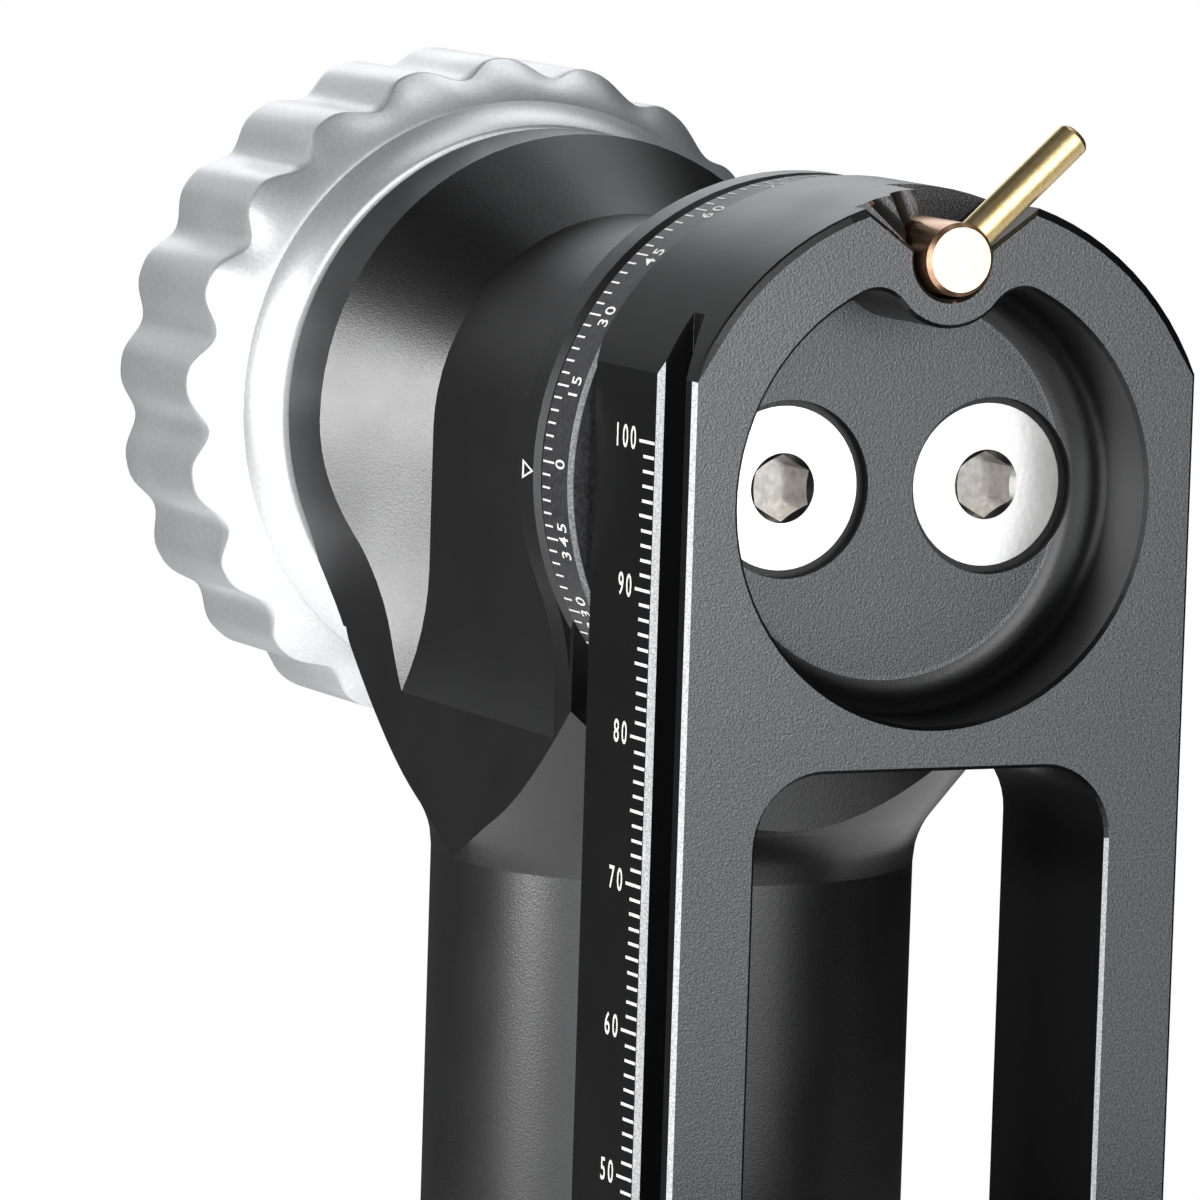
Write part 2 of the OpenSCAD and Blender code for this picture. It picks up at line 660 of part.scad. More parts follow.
module arm_outline() {
    intersection() {
        circle(arm_top_r);
        translate([-half_w, 0]) square([arm_w, arm_top_r + 1]);
    }
    translate([-half_w, -arm_drop + arm_foot_r]) square([arm_w, arm_drop - arm_foot_r]);
    translate([-half_w + arm_foot_r, -arm_drop]) square([arm_w - 2 * arm_foot_r, arm_foot_r]);
    for (s = [-1, 1]) translate([s * (half_w - arm_foot_r), -arm_drop + arm_foot_r]) circle(arm_foot_r);
}

// Groove behind the dovetail on the +X side, as an (x, y) outline
module dovetail_groove() polygon([[half_w + 1, dovetail_edge - 1], [half_w - dovetail_in, flank_end],
    [half_w - dovetail_in, groove_end], [half_w - groove_bevel, groove_end],
    [half_w, groove_end + groove_bevel], [half_w + 1, groove_end + groove_bevel + 1]]);

// Bevel strip along the arm's side, front and back, as an (x, y) outline on the +X side
module side_bevels() {
    polygon([[half_w - arm_bevel, 0], [half_w, arm_bevel], [half_w + 1, arm_bevel + 1],
        [half_w + 1, -1], [half_w - arm_bevel - 1, -1]]);
    polygon([[half_w - back_bevel, arm_t], [half_w, arm_t - back_bevel], [half_w + 1, arm_t - back_bevel - 1],
        [half_w + 1, arm_t + 1], [half_w - back_bevel - 1, arm_t + 1]]);
}

// Bevel ring round the arm's top, front and back
module top_bevels() intersection() {
    turned_y() {
        polygon([[arm_top_r - arm_bevel, 0], [arm_top_r, arm_bevel], [arm_top_r + 2, arm_bevel + 2],
            [arm_top_r + 2, -2], [arm_top_r - arm_bevel - 2, -2]]);
        polygon([[arm_top_r - arm_bevel, arm_t], [arm_top_r, arm_t - arm_bevel],
            [arm_top_r + 2, arm_t - arm_bevel - 2], [arm_top_r + 2, arm_t + 2],
            [arm_top_r - arm_bevel - 2, arm_t + 2]]);
    }
    translate([-far / 2, -far / 2, 0]) cube([far, far, far]);
}

// Boss round the lock pin with its two fillets, as an (x, z) outline
module pin_boss() {
    reach = recess_r - boss_fillet;
    span = boss_r + boss_fillet;
    cz = (reach * reach + pin_h * pin_h - span * span) / (2 * pin_h);
    cx = sqrt(reach * reach - cz * cz);
    out = (recess_r + 1) / reach;
    translate([0, pin_h]) circle(boss_r);
    difference() {
        polygon([[cx * out, cz * out], [cx, cz], [0, pin_h], [-cx, cz], [-cx * out, cz * out],
            [0, recess_r + 4]]);
        for (s = [-1, 1]) translate([s * cx, cz]) circle(boss_fillet);
    }
}

module recess_cut() difference() {
    turned_y() difference() {
        union() {
            translate([0, -1]) square([recess_r, recess_d - recess_fillet + 1]);
            translate([0, recess_d - recess_fillet - 1]) square([recess_r - recess_fillet, recess_fillet + 1]);
            translate([recess_r - recess_fillet, recess_d - recess_fillet]) circle(recess_fillet);
        }
        translate([-far, -far]) square([far, 2 * far]);
    }
    along_y(-2, recess_d + 1) pin_boss();
}

module slot_outline() {
    w = slot_w / 2;
    translate([-w, -slot_end + slot_r]) square([slot_w, slot_end - slot_top - 2 * slot_r]);
    translate([-w + slot_r, -slot_end]) square([slot_w - 2 * slot_r, slot_end - slot_top]);
    for (s = [-1, 1], z = [-slot_end + slot_r, -slot_top - slot_r])
        translate([s * (w - slot_r), z]) circle(slot_r);
}

// Bevel round the slot at the arm's back, cut by cones in the corners and straight between them
module slot_back_bevel() {
    w = slot_w / 2;
    low = -slot_end + slot_r;
    high = -slot_top - slot_r;
    for (s = [-1, 1], z = [low, high]) translate([s * (w - slot_r), 0, z]) turned_y()
        polygon([[0, arm_t - back_bevel], [slot_r, arm_t - back_bevel], [slot_r + back_bevel, arm_t],
            [slot_r + back_bevel, arm_t + 1], [0, arm_t + 1]]);
    translate([0, 0, low]) linear_extrude(high - low) polygon([[-w, arm_t - back_bevel], [w, arm_t - back_bevel],
        [w + back_bevel, arm_t], [w + back_bevel, arm_t + 1], [-w - back_bevel, arm_t + 1], [-w - back_bevel, arm_t]]);
    along_x(slot_r - w, w - slot_r) polygon([[arm_t - back_bevel, -slot_end], [arm_t - back_bevel, -slot_top],
        [arm_t, -slot_top + back_bevel], [arm_t + 1, -slot_top + back_bevel], [arm_t + 1, -slot_end - back_bevel],
        [arm_t, -slot_end - back_bevel]]);
}

// V notch over the lock pin: deep on the locking side, with milled channels on the holding side
module lock_notch() {
    v_top = arm_top_r + 2;
    v_side = (v_top - pin_h + notch_apex) * tan(notch_half);
    apex = [0, pin_h - notch_apex];
    along_y(-1, ramp_d) polygon([apex, [0, v_top], [-v_side, v_top]]);
    along_y(-1, notch_d) polygon([apex, [v_side, v_top], [-tan(12) * (v_top - apex[1]), v_top]]);
    for (c = [[lever_lean, lever_r / 1.5, 1.25 * lever_r], [26, 1.75 * lever_r, 1.25 * lever_r]])
        translate([0, c[1], pin_h]) rotate([0, -c[0], 0]) cylinder(r = c[2], h = 2 * lever_len);
    translate([0, 0, pin_h]) rod_y(pin_clear_r, -1, notch_d);
}

module swing_arm() color([0.16, 0.16, 0.17]) at_tilt() difference() {
    along_y(0, arm_t) arm_outline();
    for (s = [0, 1]) mirror([s, 0, 0]) translate([0, 0, -arm_drop - 1]) {
        linear_extrude(arm_drop + arm_top_r + 2) dovetail_groove();
        linear_extrude(arm_drop + arm_top_r + 2) side_bevels();
    }
    top_bevels();
    recess_cut();
    along_y(-1, arm_t + 1) slot_outline();
    slot_back_bevel();
    lock_notch();
    translate([0, 0, pin_h]) rod_y(pin_r + run_fit, -1, arm_t + 1);
    for (s = [-1, 1]) translate([s * screw_set, recess_d, 0]) {
        rod_y(head_r + 0.5, -1, head_sink);
        translate([0, head_sink, 0]) countersink_y(screw_r + 0.2, head_r, arm_t);
    }
    for (s = [-1, 1]) translate([s * stop_screw_x, 0, stop_screw_z]) rod_y(small_screw_r, -1, stop_screw_in);
}

module arm_screws() color([0.86, 0.87, 0.88]) at_tilt()
    for (s = [-1, 1]) translate([s * screw_set, recess_d + head_sink, 0])
        countersunk_y(screw_r, head_r, screw_end - recess_d - head_sink, hex_r, hex_d);

module arm_stop_screws() color([0.75, 0.75, 0.77]) at_tilt()
    for (s = [-1, 1]) translate([s * stop_screw_x, 0, stop_screw_z]) difference() {
        turned_y() polygon([[0, -stop_head_h], [small_screw_r * 1.6, -stop_head_h],
            [small_screw_r * 1.8, -stop_head_h * 0.85], [small_screw_r * 1.8, 0], [small_screw_r - seat_fit, 0],
            [small_screw_r - seat_fit, stop_screw_in * 0.9], [0, stop_screw_in * 0.9]]);
        translate([0, -stop_head_h * 1.5, 0]) rotate([-90, 0, 0])
            cylinder(r = small_screw_r * 0.75, h = stop_head_h * 1.1, $fn = 6);
    }

module tilt_disc() color([0.10, 0.10, 0.11]) at_tilt() difference() {
    turned_y() polygon([[shoulder_r + seat_fit, disc_front], [disc_r - disc_bevel / 2, disc_front],
        [disc_r, disc_front + disc_bevel / 2], [disc_r, disc_back - disc_bevel],
        [disc_r - disc_bevel, disc_back], [shoulder_r + seat_fit, disc_back]]);
    rod_y(shaft_flange_r + seat_fit, disc_front - 1, disc_front + shaft_flange_t);
    translate([0, 0, pin_h]) rod_y(pin_r + run_fit, disc_front - 1, disc_back + 1);
    for (s = [-1, 1]) translate([s * screw_set, 0, 0]) rod_y(screw_r + seat_fit, disc_front, disc_back + 1);
}

module tilt_shaft() color([0.66, 0.67, 0.69]) at_tilt() difference() {
    turned_y() polygon([[0, disc_front], [shaft_flange_r, disc_front],
        [shaft_flange_r, disc_front + shaft_flange_t], [shoulder_r, disc_front + shaft_flange_t],
        [shoulder_r, front_brg], [tilt_shaft_r, front_brg], [tilt_shaft_r, shaft_end],
        [thread_r, shaft_end], [thread_r, insert_end - 2], [thread_r - 1, insert_end - 1],
        [0, insert_end - 1]]);
    for (s = [-1, 1]) translate([s * screw_set, 0, 0])
        rod_y(screw_r + seat_fit, disc_front - 1, screw_end + 0.5);
}

module tilt_inner_races() color([0.80, 0.80, 0.82]) at_tilt()
    for (y = [front_brg, rear_brg]) turned_y()
        race_outline(tilt_shaft_r + seat_fit, tilt_shaft_r + tilt_race, y, tilt_brg_w,
            tilt_ball_r + ball_gap, tilt_mid_r);

module tilt_spacer() color([0.60, 0.60, 0.62]) at_tilt() turned_y()
    ring_outline(tilt_shaft_r + seat_fit, shoulder_r, front_brg + tilt_brg_w, rear_brg);

module tilt_spring_washers() color([0.45, 0.45, 0.47]) at_tilt() turned_y()
    translate([0, spring_front]) for (i = [0 : 1])
        polygon([[tilt_shaft_r + seat_fit, i * spring_t / 2], [tilt_brg_r - 1, (i + 0.3) * spring_t / 2],
            [tilt_brg_r - 1, (i + 0.9) * spring_t / 2], [tilt_shaft_r + seat_fit, (i + 0.6) * spring_t / 2]]);

module tilt_brake_washer() color([0.18, 0.18, 0.18]) at_tilt() turned_y() {
    ring_outline(tilt_shaft_r + seat_fit, brake_r, brake_front, brake_back);
    ring_outline(tilt_shaft_r + seat_fit, tilt_brg_r - 1.2, rear_brg + tilt_brg_w, brake_back);
}

// Tilt knob

module tilt_knob() color([0.86, 0.87, 0.88]) at_tilt() difference() {
    turned_y() polygon([[insert_r + seat_fit, knob_front], [collar_front_r, knob_front],
        [collar_r, collar_back], [collar_r - 0.5, collar_back], [collar_r - 0.5, collar_back + 0.25],
        [collar_r + 0.2, collar_back + 0.25], [knob_r, grip_front], [knob_r, grip_back],
        [knob_r - knob_back, knob_end], [insert_r + seat_fit, knob_end]]);
    translate([0, collar_back + 0.25, 0]) rotate([-90, -scallop_turn, 0])
        scallops(scallop_n, knob_r, scallop_d, scallop_r, 0.3, far);
    rod_y(knob_pocket_r, knob_front - 1, knob_pocket);
    rod_y(collar_r * 0.62, insert_end, far);
}

module tilt_knob_insert() color([0.78, 0.60, 0.32]) at_tilt() turned_y()
    ring_outline(thread_r + run_fit, insert_r, knob_pocket, insert_end);

module tilt_knob_cap() color([0.12, 0.12, 0.13]) at_tilt() turned_y()
    bevelled_outline(0, collar_r * 0.62 - seat_fit, insert_end, knob_end - 0.4, 0.5);

// Lock pin, its lever and its friction ring

module lock_pin() color([0.80, 0.56, 0.38]) at_tilt() translate([0, 0, pin_h]) difference() {
    turned_y() difference() {
        polygon([[0, -pin_proud], [pin_r - 0.3, -pin_proud], [pin_r, -pin_proud + 0.3],
            [pin_r, disc_back - 3], [pin_nose_r, disc_back - 2.4], [pin_nose_r, disc_back - 0.4],
            [pin_nose_r - 0.4, disc_back], [0, disc_back]]);
        translate([ring_mid_r - ring_wire_r - 0.07, ring_y - 1.1]) square([pin_r, 2.2]);
    }
    translate([0, lever_y, 0]) rotate([0, lever_lean, 0]) translate([0, 0, lever_r / 2])
        cylinder(r = lever_r + seat_fit, h = far);
}

module lock_lever() color([0.80, 0.63, 0.33]) at_tilt() translate([0, lever_y, pin_h])
    rotate([0, lever_lean, 0]) rotate_extrude() polygon([[0, lever_r / 2], [lever_r, lever_r / 2],
        [lever_r, lever_len - 0.3], [lever_r - 0.3, lever_len], [0, lever_len]]);

module lock_o_ring() color([0.05, 0.05, 0.05]) at_tilt() translate([0, ring_y, pin_h])
    turned_y() translate([ring_mid_r, 0]) circle(ring_wire_r);

// Lens carriage: body on the arm's dovetail, platform and clamp for the lens foot

// Hook of a dovetail clamp: u is the distance from the middle, v the height over the seat
module jaw_hook(u_out, v_low, up = 0) polygon([[jaw_in, v_low], [u_out, v_low], [u_out, lip_top + up],
    [lip_in, lip_top + up], [lip_in, lip_start + up + jaw_in - lip_in], [jaw_in, lip_start + up]]);

module carriage_body() color([0.10, 0.10, 0.11]) at_tilt() difference() {
    translate([0, 0, carriage_low]) linear_extrude(carriage_h)
        polygon([[-jaw_in - jaw_wall, carriage_face], [jaw_in - jaw_gap, carriage_face],
            [jaw_in - jaw_gap, -jaw_gap], [-jaw_in, -jaw_gap], [-jaw_in, lip_start],
            [-lip_in, lip_start + jaw_in - lip_in], [-lip_in, lip_top], [-jaw_in - jaw_wall, lip_top]]);
    translate([0, clamp_y, -carriage_drop]) {
        rod_x(clamp_screw_r + run_fit, jaw_in - jaw_gap - clamp_screw_in - 1, far);
        for (s = [-1, 1]) translate([0, 0, s * guide_span])
            rod_x(guide_r + seat_fit, jaw_in - jaw_gap - guide_grip, far);
    }
    for (s = [-1, 1], z = platform_screw_z) translate([s * platform_screw_x, -jaw_gap, z]) mirror([0, 1, 0])
        countersink_y(platform_screw_r + seat_fit, 2 * platform_screw_r + seat_fit, far);
}

// Platform outline in (y, z): seat, fixed hook on the carriage side, riser against the carriage
module platform_outline() {
    translate([lens_y - jaw_in + jaw_gap, -platform_t])
        square([jaw_in - jaw_gap - lens_y + carriage_face, platform_t]);
    translate([lens_y, 0]) jaw_hook(carriage_face - lens_y, -1, lens_up);
}

// Height of the riser that the platform screws reach
riser_top = platform_screw_z[1] + 6;

module lens_platform() color([0.10, 0.10, 0.11]) at_tilt() difference() {
    union() {
        translate([0, 0, seat_z]) along_x(-clamp_len / 2, clamp_len / 2) platform_outline();
        translate([0, 0, seat_z]) along_x(-half_w + 1, half_w - 1) translate([lip_in + lens_y, lip_top - 1])
            square([carriage_face - lip_in - lens_y, riser_top - seat_z - lip_top + 1]);
    }
    translate([0, 0, lens_clamp_z]) {
        rod_y(clamp_screw_r + run_fit, lens_y - jaw_in - 1, lens_y - jaw_in + jaw_gap + clamp_screw_in + 1);
        for (s = [-1, 1]) translate([s * lens_guide_span, 0, 0])
            rod_y(guide_r + seat_fit, lens_y - jaw_in - 1, lens_y - jaw_in + jaw_gap + guide_grip);
    }
    for (s = [-1, 1], z = platform_screw_z) translate([s * platform_screw_x, 0, z])
        rod_y(platform_screw_r + seat_fit, carriage_face - 5, carriage_face + 1);
}

module platform_screws() color([0.55, 0.55, 0.57]) at_tilt()
    for (s = [-1, 1], z = platform_screw_z) translate([s * platform_screw_x, -jaw_gap, z]) mirror([0, 1, 0])
        countersunk_y(platform_screw_r, 2 * platform_screw_r, carriage_t + 4.5, 1.4, 1.2);

module arm_jaw_guide_pins() color([0.75, 0.75, 0.77]) at_tilt()
    translate([0, clamp_y, -carriage_drop]) for (s = [-1, 1]) translate([0, 0, s * guide_span])
        rod_x(guide_r, jaw_in - jaw_gap - guide_grip, jaw_out - 0.5);

module lens_jaw_guide_pins() color([0.75, 0.75, 0.77]) at_tilt()
    translate([0, 0, lens_clamp_z]) for (s = [-1, 1]) translate([s * lens_guide_span, 0, 0])
        rod_y(guide_r, lens_y - jaw_out + 0.5, lens_y - jaw_in + jaw_gap + guide_grip);

module arm_clamp_jaw() color([0.10, 0.10, 0.11]) at_tilt() difference() {
    translate([0, 0, carriage_low]) linear_extrude(carriage_h) jaw_hook(jaw_out, carriage_face + 3);
    translate([0, clamp_y, -carriage_drop]) {
        rod_x(clamp_screw_r + run_fit, 0, far);
        for (s = [-1, 1]) translate([0, 0, s * guide_span]) rod_x(guide_r + run_fit, 0, far);
    }
}

module arm_clamp_washer() color([0.75, 0.75, 0.77]) at_tilt()
    translate([jaw_out + turn_gap, clamp_y, -carriage_drop]) turned_x()
        ring_outline(clamp_screw_r + seat_fit, clamp_screw_r + 3.5, 0, washer_t);

module arm_clamp_knob() color([0.86, 0.87, 0.88]) at_tilt()
    translate([jaw_out + turn_gap + washer_t, clamp_y, -carriage_drop]) rotate([0, 90, 0])
        small_knob(clamp_screw_r + seat_fit);

module arm_clamp_screw() color([0.70, 0.70, 0.72]) at_tilt()
    translate([0, clamp_y, -carriage_drop])
        rod_x(clamp_screw_r, jaw_in - jaw_gap - clamp_screw_in,
            jaw_out + turn_gap + washer_t + small_bore_end);

module lens_clamp_jaw() color([0.10, 0.10, 0.11]) at_tilt() difference() {
    translate([0, lens_y, seat_z]) mirror([0, 1, 0]) along_x(-clamp_len / 2, clamp_len / 2)
        jaw_hook(jaw_out, -platform_t, lens_up);
    translate([0, 0, lens_clamp_z]) {
        rod_y(clamp_screw_r + run_fit, lens_y - far, lens_y);
        for (s = [-1, 1]) translate([s * lens_guide_span, 0, 0]) rod_y(guide_r + run_fit, lens_y - far, lens_y);
    }
}

module lens_clamp_washer() color([0.75, 0.75, 0.77]) at_tilt()
    translate([0, lens_y - jaw_out - turn_gap - washer_t, lens_clamp_z]) turned_y()
        ring_outline(clamp_screw_r + seat_fit, clamp_screw_r + 3.5, 0, washer_t);

module lens_clamp_knob() color([0.86, 0.87, 0.88]) at_tilt()
    translate([0, lens_y - jaw_out - turn_gap - washer_t, lens_clamp_z]) rotate([90, 0, 0])
        small_knob(clamp_screw_r + seat_fit);

module lens_clamp_screw() color([0.70, 0.70, 0.72]) at_tilt() translate([0, 0, lens_clamp_z])
    rod_y(clamp_screw_r, lens_y - jaw_out - turn_gap - washer_t - small_bore_end,
        lens_y - jaw_in + jaw_gap + clamp_screw_in);

base_plate();
tripod_bush();
base_screws();
pan_spindle();
pan_spacer();
pan_spindle_nut();
pan_inner_races();
pan_housing();
pan_cap();
pan_cap_screws();
pan_outer_races();
pan_balls();
upright();
upright_screws();
tilt_outer_races();
tilt_balls();
pan_brake_shoe();
pan_knob();
pan_knob_stud();
swing_arm();
arm_screws();
arm_stop_screws();
tilt_disc();
tilt_shaft();
tilt_inner_races();
tilt_spacer();
tilt_spring_washers();
tilt_brake_washer();
tilt_knob();
tilt_knob_insert();
tilt_knob_cap();
lock_o_ring();
lock_pin();
lock_lever();
carriage_body();
lens_platform();
platform_screws();
arm_jaw_guide_pins();
lens_jaw_guide_pins();
arm_clamp_jaw();
arm_clamp_knob();
arm_clamp_screw();
arm_clamp_washer();
lens_clamp_jaw();
lens_clamp_knob();
lens_clamp_screw();
lens_clamp_washer();
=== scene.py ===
# Gimbal head for long lenses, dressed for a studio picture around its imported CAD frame.
# The sections follow the head from the swing arm, which the camera sees first, back along
# the tilt axis to the knob, then down to the lens carriage and the pan base.
import math

import bmesh
import bpy
from mathutils import Matrix, Vector


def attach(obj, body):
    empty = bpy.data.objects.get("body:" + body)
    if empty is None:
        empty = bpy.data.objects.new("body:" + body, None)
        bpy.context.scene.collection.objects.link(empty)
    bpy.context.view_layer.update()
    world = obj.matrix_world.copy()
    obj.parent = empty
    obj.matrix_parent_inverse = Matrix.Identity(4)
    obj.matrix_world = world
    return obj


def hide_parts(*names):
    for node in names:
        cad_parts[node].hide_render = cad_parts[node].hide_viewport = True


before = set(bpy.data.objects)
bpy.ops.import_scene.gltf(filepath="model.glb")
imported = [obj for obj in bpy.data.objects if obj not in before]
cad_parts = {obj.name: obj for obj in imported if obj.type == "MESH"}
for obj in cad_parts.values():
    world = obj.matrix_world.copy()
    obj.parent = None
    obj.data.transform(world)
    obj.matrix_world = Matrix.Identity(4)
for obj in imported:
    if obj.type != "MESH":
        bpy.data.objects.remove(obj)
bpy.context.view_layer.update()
scene = bpy.context.scene
scene.view_settings.view_transform = "Standard"

# Camera: a long lens in front of the head, to its left and a little above, turned by the
# small lean that the arm has in the picture.
aim = Vector((-0.02542, 0.042, 0.1688))
eye_distance = 0.62946
turn, rise, roll = math.radians(-25.57), math.radians(6.61), math.radians(1.77)
eye_back = Vector((math.sin(turn) * math.cos(rise), -math.cos(turn) * math.cos(rise), math.sin(rise)))
eye_right = Vector((0, 0, 1)).cross(eye_back).normalized()
eye_up = eye_back.cross(eye_right)
rolled_right = eye_right * math.cos(roll) + eye_up * math.sin(roll)
rolled_up = eye_up * math.cos(roll) - eye_right * math.sin(roll)
eye_matrix = Matrix((rolled_right, rolled_up, eye_back)).transposed().to_4x4()
eye_matrix.translation = aim + eye_back * eye_distance
eye_data = bpy.data.cameras.new("eye")
eye_data.sensor_width = 36
eye_data.lens = 285.45
eye_data.clip_start, eye_data.clip_end = 0.01, 50
eye = bpy.data.objects.new("eye", eye_data)
eye.matrix_world = eye_matrix
scene.collection.objects.link(eye)
scene.camera = eye

# Studio world: plain white where the camera sees past the head. What the head reflects is a dark
# room with soft-edged white cards: a large one at the front left, smaller ones in front, high at
# the right and behind, and one overhead.
world = bpy.data.worlds.new("studio")
scene.world = world
world.use_nodes = True
sky = world.node_tree
sky.nodes.clear()
sky_place = sky.nodes.new("ShaderNodeTexCoord")
sky_split = sky.nodes.new("ShaderNodeSeparateXYZ")
sky.links.new(sky_place.outputs["Generated"], sky_split.inputs[0])
sky_flip = sky.nodes.new("ShaderNodeVectorMath")
sky_flip.operation = "SCALE"
sky_flip.inputs["Scale"].default_value = -1.0
sky_back = sky.nodes.new("ShaderNodeSeparateXYZ")
sky.links.new(sky_place.outputs["Generated"], sky_flip.inputs[0])
sky.links.new(sky_flip.outputs[0], sky_back.inputs[0])
sky_turn = sky.nodes.new("ShaderNodeMath")
sky_turn.operation = "ARCTAN2"
sky.links.new(sky_back.outputs["Y"], sky_turn.inputs[0])
sky.links.new(sky_back.outputs["X"], sky_turn.inputs[1])
sky_rise = sky.nodes.new("ShaderNodeMath")
sky_rise.operation = "ARCSINE"
sky.links.new(sky_split.outputs["Z"], sky_rise.inputs[0])


def card_edge(angle, start, end):
    edge = sky.nodes.new("ShaderNodeMapRange")
    edge.interpolation_type = "SMOOTHSTEP"
    edge.inputs["From Min"].default_value = math.radians(start)
    edge.inputs["From Max"].default_value = math.radians(end)
    sky.links.new(angle.outputs[0], edge.inputs["Value"])
    return edge.outputs["Result"]


def card_sum(operation, first, second):
    node = sky.nodes.new("ShaderNodeMath")
    node.operation = operation
    for socket, value in zip(node.inputs, (first, second)):
        if isinstance(value, float):
            socket.default_value = value
        else:
            sky.links.new(value, socket)
    return node.outputs[0]


def white_card(left, right, low, high, soft_side, soft_rise, strength):
    lit = card_edge(sky_turn, left - soft_side, left + soft_side)
    lit = card_sum("MULTIPLY", lit, card_edge(sky_turn, right + soft_side, right - soft_side))
    lit = card_sum("MULTIPLY", lit, card_edge(sky_rise, low - soft_rise, low + soft_rise))
    lit = card_sum("MULTIPLY", lit, card_edge(sky_rise, high + soft_rise, high - soft_rise))
    return card_sum("MULTIPLY", lit, strength)


# Angles in degrees around the head: 0 at its left side, 90 in front, 180 at its right, -90 behind.
# Each card: left, right, low, high, softness of its sides, softness of its ends, strength.
dark_room = 0.01
cards = ((15, 64, -48, 24, 15, 12, 2.4),
         (62, 119, -8, 38, 8, 13, 0.60),
         (105, 125, -17, 6, 5, 5, 1.0),
         (70, 104, 18, 44, 8, 8, 1.2),
         (-124, -94, 6, 30, 8, 8, 1.7),
         (-172, -115, 48, 70, 14, 10, 2.0),
         (-100, -20, -40, 40, 10, 14, 0.08),
         (-110, -50, 14, 30, 10, 8, 0.40),
         (-200, 200, 80, 110, 10, 8, 1.8))
sky_light = white_card(*cards[0])
for card in cards[1:]:
    sky_light = card_sum("ADD", sky_light, white_card(*card))
sky_light = card_sum("ADD", sky_light, dark_room)
sky_cards = sky.nodes.new("ShaderNodeBackground")
sky.links.new(sky_light, sky_cards.inputs["Strength"])
sky_white = sky.nodes.new("ShaderNodeBackground")
sky_path = sky.nodes.new("ShaderNodeLightPath")
sky_mix = sky.nodes.new("ShaderNodeMixShader")
sky_out = sky.nodes.new("ShaderNodeOutputWorld")
sky_cards.inputs["Color"].default_value = (0.965, 0.98, 1, 1)
sky_white.inputs["Color"].default_value = (1, 1, 1, 1)
sky.links.new(sky_path.outputs["Is Camera Ray"], sky_mix.inputs["Fac"])
sky.links.new(sky_cards.outputs["Background"], sky_mix.inputs[1])
sky.links.new(sky_white.outputs["Background"], sky_mix.inputs[2])
sky.links.new(sky_mix.outputs["Shader"], sky_out.inputs["Surface"])

# Lamps: a small soft box straight in front of the arm, and an upright strip at the head's left that
# the hub's flank reflects. The camera sees neither.
for lamp, width, height, watts, stand, target in (
        ("front_lamp", 0.12, 0.14, 0.32, (0.015, -0.17, 0.20), (0.015, 0.042, 0.20)),
        ("strip_lamp", 0.09, 0.243, 1.55, (-0.42, 0.112, 0.2285), (0, 0.112, 0.2285))):
    lamp_data = bpy.data.lights.new(lamp, "AREA")
    lamp_data.shape = "RECTANGLE"
    lamp_data.size, lamp_data.size_y = width, height
    lamp_data.energy = watts
    lamp_object = bpy.data.objects.new(lamp, lamp_data)
    lamp_object.location = stand
    lamp_object.rotation_euler = (Vector(target) - Vector(stand)).to_track_quat("-Z", "Y").to_euler()
    lamp_object.visible_camera = False
    scene.collection.objects.link(lamp_object)

# Floor: a sheet of matt white paper under the head, cut short so that the dark sides reflect the
# room beyond it. Where it is seen it is lifted to the white behind it.
floor_half, floor_drop, floor_lift = 0.38, 0.0004, 0.72
floor_mesh = bpy.data.meshes.new("floor")
floor_bm = bmesh.new()
bmesh.ops.create_grid(floor_bm, x_segments=1, y_segments=1, size=floor_half)
floor_bm.to_mesh(floor_mesh)
floor_bm.free()
floor = bpy.data.objects.new("floor", floor_mesh)
floor.location = (0, 0, -floor_drop)
scene.collection.objects.link(floor)
floor_paper = bpy.data.materials.new("floor_paper")
floor_paper.use_nodes = True
paper = floor_paper.node_tree
paper.nodes.clear()
paper_out = paper.nodes.new("ShaderNodeOutputMaterial")
paper_matt = paper.nodes.new("ShaderNodeBsdfDiffuse")
paper_matt.inputs["Color"].default_value = (0.62, 0.62, 0.62, 1)
paper_glow = paper.nodes.new("ShaderNodeEmission")
paper_path = paper.nodes.new("ShaderNodeLightPath")
paper_seen = paper.nodes.new("ShaderNodeMath")
paper_seen.operation = "MAXIMUM"
paper_lift = paper.nodes.new("ShaderNodeMath")
paper_lift.operation = "MULTIPLY"
paper_lift.inputs[1].default_value = floor_lift
paper_add = paper.nodes.new("ShaderNodeAddShader")
paper.links.new(paper_path.outputs["Is Camera Ray"], paper_seen.inputs[0])
paper.links.new(paper_path.outputs["Is Glossy Ray"], paper_seen.inputs[1])
paper.links.new(paper_seen.outputs[0], paper_lift.inputs[0])
paper.links.new(paper_lift.outputs[0], paper_glow.inputs["Strength"])
paper.links.new(paper_matt.outputs[0], paper_add.inputs[0])
paper.links.new(paper_glow.outputs[0], paper_add.inputs[1])
paper.links.new(paper_add.outputs[0], paper_out.inputs["Surface"])
floor.data.materials.append(floor_paper)
